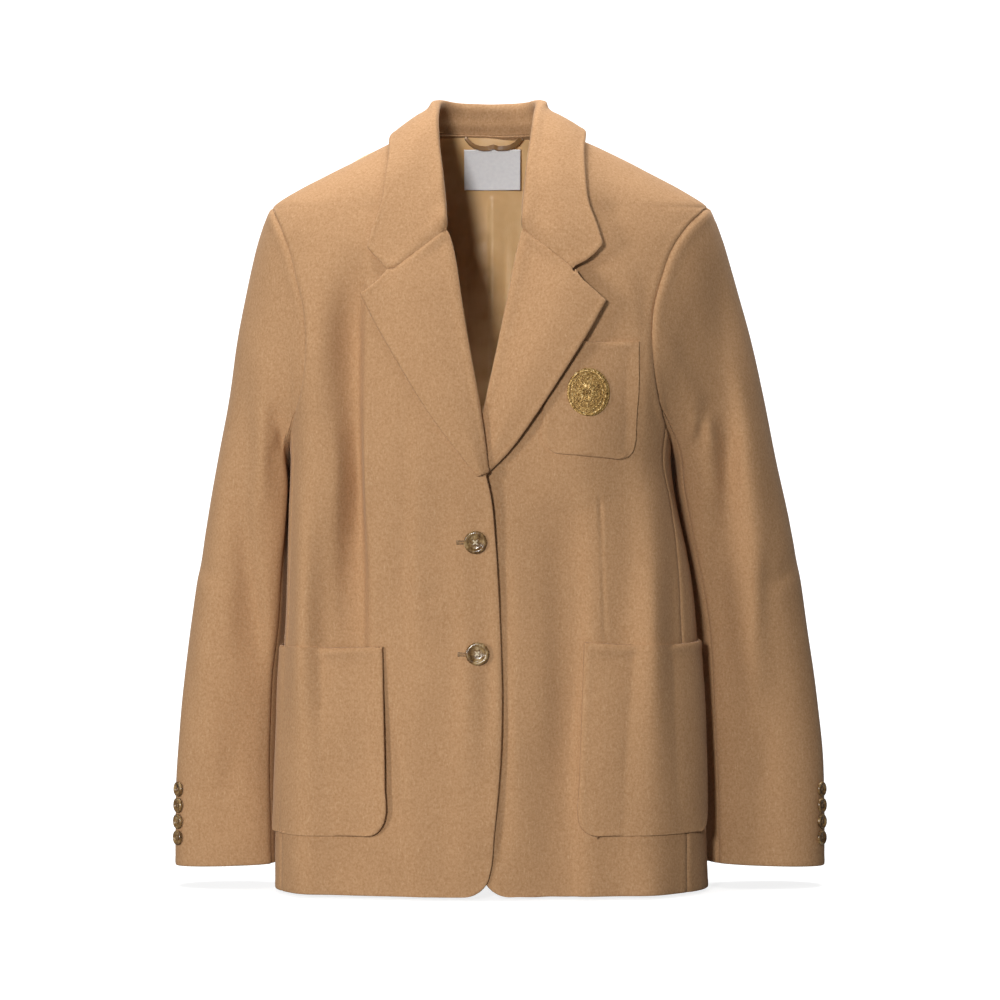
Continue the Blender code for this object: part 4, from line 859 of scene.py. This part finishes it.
clothPieces = {
    "front_right": {**frontLook, "creases": rightFrontCreases, "flat": (0.260, 0.800), "area": 0.142},
    "front_left": {**frontLook, "creases": leftFrontCreases, "flat": (0.250, 0.810), "area": 0.139},
    "side_right": {**bodyLook, "creases": rightFrontCreases, "flat": (0.105, 0.430), "area": 0.036},
    "side_left": {**bodyLook, "creases": leftFrontCreases, "flat": (0.125, 0.430), "area": 0.043},
    "back": {**bodyLook, "spacing": (0.0036, 0.0046), "creases": backCreases, "flat": (0.480, 0.800),
             "area": 0.288},
    "top_sleeve_right": {**sleeveLook, "flat": (0.210, 0.590), "area": 0.098},
    "top_sleeve_left": {**sleeveLook, "flat": (0.225, 0.600), "area": 0.110},
    "under_sleeve_right": {**sleeveLook, "flat": (0.195, 0.480), "area": 0.075},
    "under_sleeve_left": {**sleeveLook, "flat": (0.200, 0.490), "area": 0.078},
    "collar": {**collarLook, "wall": 0.0020, "group": "collar", "sewTo": {"body": 0.0045, "lapel": 0.0130},
               "flat": (0.580, 0.110), "area": 0.051},
    "lapel_right": lapelLook,
    "lapel_left": lapelLook,
    "pocket_right": {**pocketLook, "flat": (0.150, 0.185), "area": 0.0270, "restsOn": ("front_right",)},
    "pocket_left": {**pocketLook, "flat": (0.150, 0.185), "area": 0.0270, "restsOn": ("front_left",)},
    "chest_pocket": {**pocketLook, "flat": (0.098, 0.118), "area": 0.0112, "restsOn": ("front_left",)},
    "back_lining": {**bodyLook, "wall": 0.0012, "shows": "inside", "spacing": (0.0022, 0.0044),
                    "corner": (360.0, 360.0), "creases": liningCreases, "material": "satin",
                    "group": "lining", "sewTo": {"collar": 0.0120}, "pull": 0.9, "flat": (0.440, 0.735),
                    "area": 0.253},
    "label": {**plateLook, "wall": 0.0007, "shows": "front", "material": "label", "group": "label",
              "loose": 0.6, "flat": (0.055, 0.040), "area": 0.0022, "restsOn": ("back_lining",)},
    "emblem": {**plateLook, "wall": 0.0010, "material": "gold_thread", "group": "emblem", "sink": 0.0011,
               "flat": (0.038, 0.044), "area": 0.0013, "restsOn": ("chest_pocket",)},
}

sheets = {}     # the smooth points of each piece
facings = {}    # their normals
seams = {}      # how far each point of each border is in a seam
finished = {}   # the points with creases, seams and edges


def readPiece(node, look):
    points = clothPoints(node, look["wall"], look["shows"])
    sheets[node] = denseSheet(points, look["spacing"], look["corner"])
    facings[node] = normalsOf(sheets[node])
    seams[node] = {name: np.zeros(len(line)) for name, line in bordersOf(sheets[node]).items()}


def pleatHeight(points):
    # the lining's centre pleat: a sharp step and a long slope, puckered along the step
    x = points[:, :, 0] - pleat["x"]
    z = points[:, :, 2]
    slope = np.where(x > 0.0, np.exp(-x / pleat["reach"]), 1.0)
    high, low = pleat["fades"]
    ends = ease((pleat["top"] - z) / high) * ease((z - pleat["bottom"]) / low)
    total = pleat["rise"] * ease(x / pleat["step"] + 0.5) * slope * ends
    wide, tall = pleat["puckerSize"]
    for place, deep in pleat["puckers"]:
        total -= deep * bell(x + 0.5 * wide, wide) * bell(z - place - pleat["puckerSlant"] * x, tall)
    return total


def sleeveHead(points, fromArmhole):
    # the cloth of the sleeve is eased into the top of the armhole
    upper = ease((points[:, :, 2] - sleeveTop["from"]) / sleeveTop["over"])
    return sleeveTop["rise"] * upper * bell(fromArmhole - sleeveTop["at"], sleeveTop["wide"])


def shapedSheet(node, look):
    points = sheets[node]
    normals = facings[node]
    away = distancesTo(points)
    height = unevenness(points) * look["loose"] - look["sink"]
    creased = creaseHeight(points, normals, look["creases"])
    if node == "back_lining":
        height += pleatHeight(points)
    if look["eased"]:
        height += sleeveHead(points, away["high"])
    for name, sewn in seams[node].items():
        share = sewn[None, :] if name in ("left", "right") else sewn[:, None]
        height += edgeHeight(away[name], share, look["edge"])
    ahead = normals * (creasing["drift"], 1.0, creasing["drift"])
    ahead /= np.linalg.norm(ahead, axis=2, keepdims=True)
    return points + normals * height[:, :, None] + ahead * creased[:, :, None]


def treeOf(points):
    rows = points.shape[1]
    verts = points.reshape(-1, 3).tolist()
    quads = [(i * rows + j, (i + 1) * rows + j, (i + 1) * rows + j + 1, i * rows + j + 1)
             for i in range(points.shape[0] - 1) for j in range(rows - 1)]
    return BVHTree.FromPolygons(verts, quads)


def laidOn(node, below, look):
    # lifts what lies on a panel clear of that panel's own creases
    tree = treeOf(finished[below])
    lifted = finished[node].copy()
    need = look["wall"] + layGap
    for place in np.ndindex(lifted.shape[:2]):
        normal = Vector(facings[node][place])
        spot, _, _, _ = tree.ray_cast(Vector(lifted[place]) + normal * feel, -normal, feel + need)
        if spot is not None:
            lifted[place] = spot + normal * need
    return lifted


def clothObject(node, points, look):
    columns, rows = points.shape[0] - 1, points.shape[1] - 1
    across = walked(points, 0)
    up = walked(points, 1)
    shape = bmesh.new()
    bmesh.ops.create_grid(shape, x_segments=columns, y_segments=rows, size=1.0, calc_uvs=False)
    made = meshObject(node + "_cloth", shape, materials[look["material"]])
    mesh = made.data
    flat = np.empty(len(mesh.vertices) * 3)
    mesh.vertices.foreach_get("co", flat)
    flat = flat.reshape(-1, 3)
    i = np.rint((flat[:, 0] + 1.0) / 2.0 * columns).astype(int)
    j = np.rint((flat[:, 1] + 1.0) / 2.0 * rows).astype(int)
    mesh.vertices.foreach_set("co", points[i, j].ravel())
    corners = np.empty(len(mesh.loops), int)
    mesh.loops.foreach_get("vertex_index", corners)
    uvs = np.stack((across[i, j][corners], up[i, j][corners]), axis=1)
    mesh.uv_layers.new(name="UVMap").data.foreach_set("uv", uvs.ravel())
    mesh.update()
    wall = made.modifiers.new("wall", "SOLIDIFY")
    wall.thickness = look["wall"]
    wall.offset = -1.0
    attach(made, "root")
    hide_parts(node)
    return made


for pieceName, pieceLook in clothPieces.items():
    readPiece(pieceName, pieceLook)
print("stage: cloth read")
sewShut(clothPieces)
print("stage: seams sewn")
for pieceName, pieceLook in clothPieces.items():
    finished[pieceName] = shapedSheet(pieceName, pieceLook)
    for below in pieceLook["restsOn"]:
        if pieceLook["material"] != "label":
            finished[pieceName] = laidOn(pieceName, below, pieceLook)
    clothObject(pieceName, finished[pieceName], pieceLook)
print("stage: cloth pieces")

# ---- stitches: many small threads joined in one mesh


def addStitch(shape, start, end, radius, out, flatness=0.8):
    # one short thread, a long bead that lies along start to end and stands out of the cloth
    along = (end - start).normalized()
    side = out.cross(along).normalized()
    out = along.cross(side).normalized()
    turned = Matrix((along, side, out)).transposed().to_4x4()
    size = Matrix.Diagonal(((end - start).length / 2.0 + radius * 0.4, radius, radius * flatness, 1.0))
    bmesh.ops.create_icosphere(shape, subdivisions=2, radius=1.0,
                               matrix=Matrix.Translation((start + end) / 2.0) @ turned @ size)


def stitchObject(name, shape, material):
    made = meshObject(name, shape, materials[material])
    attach(made, "root")
    return made


def onCloth(tree, x, z, lift):
    # the spot of the front at X and Z, and its normal; past the cloth's edge it goes on level
    spot, normal, _, _ = tree.ray_cast(Vector((x, -1.0, z)), Vector((0.0, 1.0, 0.0)))
    if spot is None:
        nearest, normal, _, _ = tree.find_nearest(Vector((x, -0.1, z)))
        spot = Vector((x, nearest.y, z))
    if normal.y > 0.0:
        normal = -normal
    return spot + normal * lift, normal


# ---- buttons

button = {
    # outline from the middle of the face to the middle of the back, in parts of the radius and height
    "outline": ((0.00, 0.44), (0.22, 0.44), (0.42, 0.46), (0.54, 0.52), (0.62, 0.66), (0.67, 0.84),
                (0.73, 0.95), (0.80, 1.00), (0.87, 0.98), (0.94, 0.88), (0.985, 0.70), (1.00, 0.50),
                (0.98, 0.30), (0.93, 0.14), (0.84, 0.04), (0.70, 0.00), (0.00, 0.00)),
    "steps": 56, "mergeDistance": 0.000005, "hole": 0.100, "holeSteps": 16, "spread": 0.215,
    "seat": 0.0006, "sharp": 50.0, "thread": 0.00034, "threadGap": 1.3, "threadMaterial": "paleThread",
}
cuffButton = {**button, "steps": 36, "holeSteps": 10, "thread": 0.00025, "threadMaterial": "thread"}


def buttonFrame(node):
    # a frame at a button's back, with Z out of its face, and its radius and height
    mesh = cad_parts[node].data
    spots = np.array([vert.co[:] for vert in mesh.vertices])
    centre = (spots.min(0) + spots.max(0)) / 2.0
    _, _, axes = np.linalg.svd(spots - spots.mean(0))
    out = Vector(axes[2])
    if out.dot(Vector((centre[0], centre[1] if abs(centre[0]) < 0.1 else 0.0, 0.0))) < 0.0:
        out = -out
    along = (spots - centre) @ np.array(out)
    height = along.max() - along.min()
    radius = np.linalg.norm(spots - centre - np.outer(along, out), axis=1).max()
    turned = out.to_track_quat("Z", "Y").to_matrix().to_4x4()
    turned.translation = Vector(centre) - out * height / 2.0
    return turned, radius, height


def holePlaces(radius, look):
    half = look["spread"] * radius
    return [(-half, -half), (half, -half), (half, half), (-half, half)]


def makeButton(node, look, tree):
    # the button is seated on the finished cloth below it
    place, radius, height = buttonFrame(node)
    out = place.to_3x3() @ Vector((0.0, 0.0, 1.0))
    spot, _, _, _ = tree.ray_cast(place.translation + out * feel, -out, 2.0 * feel)
    place.translation = spot + out * look["seat"]
    shape = bmesh.new()
    verts = [shape.verts.new((radius * r, 0.0, height * h)) for r, h in look["outline"]]
    lines = [shape.edges.new(pair) for pair in zip(verts, verts[1:])]
    bmesh.ops.spin(shape, geom=verts + lines, cent=(0.0, 0.0, 0.0), axis=(0.0, 0.0, 1.0),
                   angle=math.radians(360.0), steps=look["steps"], use_merge=True)
    bmesh.ops.remove_doubles(shape, verts=shape.verts[:], dist=look["mergeDistance"])
    bmesh.ops.recalc_face_normals(shape, faces=shape.faces[:])
    bmesh.ops.transform(shape, matrix=place, verts=shape.verts[:])
    made = meshObject(node + "_horn", shape, materials["horn"])

    cutterShape = bmesh.new()
    for x, y in holePlaces(radius, look):
        hole = bmesh.ops.create_cone(cutterShape, cap_ends=True, segments=look["holeSteps"],
                                     radius1=look["hole"] * radius, radius2=look["hole"] * radius,
                                     depth=height * 3.0)
        bmesh.ops.translate(cutterShape, verts=hole["verts"], vec=(x, y, height / 2.0))
    bmesh.ops.transform(cutterShape, matrix=place, verts=cutterShape.verts[:])
    cutter = meshObject(node + "_holes", cutterShape, materials["horn"])
    drill = made.modifiers.new("holes", "BOOLEAN")
    drill.operation = "DIFFERENCE"
    drill.object = cutter
    drilled = bpy.data.meshes.new_from_object(made.evaluated_get(bpy.context.evaluated_depsgraph_get()))
    made.modifiers.clear()
    made.data = drilled
    drilled.set_sharp_from_angle(angle=math.radians(look["sharp"]))
    bpy.data.objects.remove(cutter)
    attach(made, "root")
    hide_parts(node)

    threads = bmesh.new()
    face = height * look["outline"][0][1]
    thick = look["thread"]
    places = [Vector((x, y, face)) for x, y in holePlaces(radius, look)]
    for first, second in ((0, 2), (1, 3)):
        start, end = places[first], places[second]
        aside = (end - start).cross(Vector((0.0, 0.0, 1.0))).normalized() * thick * look["threadGap"]
        rise = Vector((0.0, 0.0, thick * (0.7 + first)))
        for strand in (-1.0, 0.0, 1.0):
            offset = aside * strand + rise
            addStitch(threads, place @ (start + offset), place @ (end + offset), thick, out)
    stitchObject(node + "_thread", threads, look["threadMaterial"])


buttonsOn = {"front_button": ("front_right", button), "cuff_button_right": ("top_sleeve_right", cuffButton),
             "cuff_button_left": ("top_sleeve_left", cuffButton)}
for start, (below, buttonLook) in buttonsOn.items():
    belowTree = treeOf(finished[below])
    for node in sorted(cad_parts):
        if node.startswith(start):
            makeButton(node, buttonLook, belowTree)
print("stage: buttons")

# ---- buttonholes

buttonhole = {"places": ((-0.0300, -0.3945), (-0.0288, -0.4985)), "length": 0.025, "stitches": 26,
              "reach": 0.0021, "slit": 0.00025, "thread": 0.00042, "lift": 0.0002, "sink": -0.00005,
              "eye": (0.0007, 0.0022), "eyeStitches": 9, "eyeTurn": 110.0,
              "bar": 3, "barStart": 0.0004, "barGap": 0.0006, "barThread": 0.000462}


def makeButtonhole(name, x, z):
    tree = treeOf(finished["front_right"])
    shape = bmesh.new()

    def stitch(start, end, thick, endLift):
        near, normal = onCloth(tree, *start, buttonhole["lift"])
        far, _ = onCloth(tree, *end, endLift)
        addStitch(shape, near, far, thick, normal)

    reach = buttonhole["reach"]
    for k in range(buttonhole["stitches"] + 1):
        along = x + buttonhole["length"] * k / buttonhole["stitches"]
        for side in (-1.0, 1.0):
            stitch((along, z + side * buttonhole["slit"]), (along, z + side * reach), buttonhole["thread"],
                   buttonhole["sink"])
    eyeX = x + buttonhole["length"]
    for k in range(buttonhole["eyeStitches"]):
        turn = math.radians(buttonhole["eyeTurn"] * (2.0 * k / (buttonhole["eyeStitches"] - 1) - 1.0))
        inner, outer = [(eyeX + size * math.cos(turn), z + size * math.sin(turn))
                        for size in buttonhole["eye"]]
        stitch(inner, outer, buttonhole["thread"], 0.0)
    for k in range(buttonhole["bar"]):
        aside = x - buttonhole["barStart"] - buttonhole["barGap"] * k
        stitch((aside, z - reach), (aside, z + reach), buttonhole["barThread"], buttonhole["lift"])
    stitchObject(name, shape, "thread")


for number, start in enumerate(buttonhole["places"], start=1):
    makeButtonhole("buttonhole_%d" % number, *start)
print("stage: buttonholes")

# ---- the gold-thread badge: an oval of rope and beads round a flower, a plain design of its own

badge = {
    "x": 0.0895, "z": -0.2550, "halfWidth": 0.0190, "halfHeight": 0.0220, "lift": 0.0003, "bead": 0.0006,
    "rope": {"size": 0.93, "stitches": 84, "length": 0.0036, "radius": 0.00070, "slant": 38.0},
    "chain": {"size": 0.76, "stitches": 58, "length": 0.0019, "radius": 0.00052, "slant": 0.0},
    "beads": {"size": 0.60, "stitches": 22, "radius": 0.00085},
    "petals": {"count": 10, "inner": 0.0026, "outer": 0.0092, "strands": 5, "spread": 0.000605,
               "lean": 0.10, "shorter": 0.10, "radius": 0.00050, "lift": 0.0005, "lower": 0.0001},
    "leaves": {"size": 0.47, "count": 10, "length": 0.0032, "radius": 0.00055},
    "middle": {"ring": 0.0017, "beads": 7, "bead": 0.0005, "radius": 0.00075, "lift": 0.0007,
               "topRadius": 0.00090, "topLift": 0.0009},
}


def turnsOf(count, start=0.0):
    return [2.0 * math.pi * (k + start) / count for k in range(count)]


def makeBadge():
    tree = treeOf(finished["emblem"])
    shape = bmesh.new()

    def ovalPoint(turn, size):
        return (badge["halfWidth"] * size * math.sin(turn), badge["halfHeight"] * size * math.cos(turn))

    def thread(x, z, turn, length, radius, lift=badge["lift"]):
        # one thread centred at x, z and laid at an angle
        dx = 0.5 * length * math.cos(turn)
        dz = 0.5 * length * math.sin(turn)
        start, normal = onCloth(tree, badge["x"] + x - dx, badge["z"] + z - dz, lift)
        end, _ = onCloth(tree, badge["x"] + x + dx, badge["z"] + z + dz, lift)
        addStitch(shape, start, end, radius, normal, 0.9)

    for band in (badge["rope"], badge["chain"]):
        for turn in turnsOf(band["stitches"]):
            x, z = ovalPoint(turn, band["size"])
            aheadX, aheadZ = ovalPoint(turn + 0.01, band["size"])
            tangent = math.atan2(aheadZ - z, aheadX - x)
            thread(x, z, tangent + math.radians(band["slant"]), band["length"], band["radius"])
    for turn in turnsOf(badge["beads"]["stitches"]):
        thread(*ovalPoint(turn, badge["beads"]["size"]), 0.0, badge["bead"], badge["beads"]["radius"])
    petals = badge["petals"]
    centre = 0.5 * (petals["inner"] + petals["outer"])
    for turn in turnsOf(petals["count"]):
        for strand in range(petals["strands"]):
            across = strand - 0.5 * (petals["strands"] - 1)
            x = centre * math.cos(turn) - across * petals["spread"] * math.sin(turn)
            z = centre * math.sin(turn) + across * petals["spread"] * math.cos(turn)
            length = (petals["outer"] - petals["inner"]) * (1.0 - petals["shorter"] * abs(across))
            thread(x, z, turn + petals["lean"] * across, length, petals["radius"],
                   petals["lift"] - petals["lower"] * abs(across))
    leaves = badge["leaves"]
    for turn in turnsOf(leaves["count"], 0.5):
        x, z = ovalPoint(math.pi / 2.0 - turn, leaves["size"])
        thread(x, z, math.atan2(z, x), leaves["length"], leaves["radius"])
    middle = badge["middle"]
    thread(0.0, 0.0, 0.0, middle["bead"], middle["topRadius"], middle["topLift"])
    for turn in turnsOf(middle["beads"]):
        thread(middle["ring"] * math.cos(turn), middle["ring"] * math.sin(turn), turn, middle["bead"],
               middle["radius"], middle["lift"])
    stitchObject("emblem_threads", shape, "brightThread")


makeBadge()
print("stage: badge")

# ---- the neck label's stitching and the hanger loop

labelSewing = {"inset": 0.0012, "gap": 0.0022, "length": 0.0013, "radius": 0.00022, "lift": 0.00005}


def sewLabel():
    points = finished["label"]
    tree = treeOf(points)
    shape = bmesh.new()
    inset = labelSewing["inset"]
    lowX, _, lowZ = points.min((0, 1)) + inset
    highX, _, highZ = points.max((0, 1)) - inset
    half = labelSewing["length"] / 2.0
    for x in (lowX, highX):
        for k in range(int((highZ - lowZ) / labelSewing["gap"]) + 1):
            z = lowZ + k * labelSewing["gap"]
            start, normal = onCloth(tree, x, z - half, labelSewing["lift"])
            end, _ = onCloth(tree, x, z + half, labelSewing["lift"])
            addStitch(shape, start, end, labelSewing["radius"], normal)
    stitchObject("label_stitches", shape, "label")


sewLabel()

hanger = {"steps": 48, "rings": 13, "ringPoints": 8, "halfWide": 0.0019, "thick": 0.00060, "round": 4,
          "tilt": (-0.5, 0.2, 0.1, 0.4, 0.9)}


def makeHangerLoop():
    # a flat satin strip along the middle of the solid, turned on edge at one end
    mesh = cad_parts["hanger_loop"].data
    spots = np.array([vert.co[:] for vert in mesh.vertices])
    places = np.linspace(spots[:, 0].min(), spots[:, 0].max(), hanger["rings"])
    nearest = [np.argsort(np.abs(spots[:, 0] - x))[:hanger["ringPoints"]] for x in places]
    middle = np.array([spots[near].mean(0) for near in nearest])
    curve = bpy.data.curves.new("hangerLoop", "CURVE")
    curve.dimensions = "3D"
    curve.extrude = hanger["halfWide"]
    curve.bevel_depth = hanger["thick"]
    curve.bevel_resolution = hanger["round"]
    curve.use_fill_caps = True
    line = curve.splines.new("POLY")
    line.points.add(hanger["steps"])
    tilts = hanger["tilt"]
    for k in range(hanger["steps"] + 1):
        share = k / hanger["steps"]
        at = share * (len(middle) - 1)
        spot = [np.interp(at, range(len(middle)), middle[:, axis]) for axis in range(3)]
        line.points[k].co = (*spot, 1.0)
        line.points[k].tilt = np.interp(share * (len(tilts) - 1), range(len(tilts)), tilts)
    rough = bpy.data.objects.new("hangerCurve", curve)
    scene.collection.objects.link(rough)
    strip = bpy.data.meshes.new_from_object(rough.evaluated_get(bpy.context.evaluated_depsgraph_get()))
    bpy.data.objects.remove(rough)
    shape = bmesh.new()
    shape.from_mesh(strip)
    bmesh.ops.remove_doubles(shape, verts=shape.verts[:], dist=reading["mergeDistance"])
    bmesh.ops.recalc_face_normals(shape, faces=shape.faces[:])
    made = meshObject("hanger_loop_strip", shape, materials["loop"])
    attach(made, "root")
    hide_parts("hanger_loop")


makeHangerLoop()
print("stage: label and hanger loop")

makeCamera()
makeLights()
makeBackdrop(materials["floor"])
print("stage: camera, lights and floor")
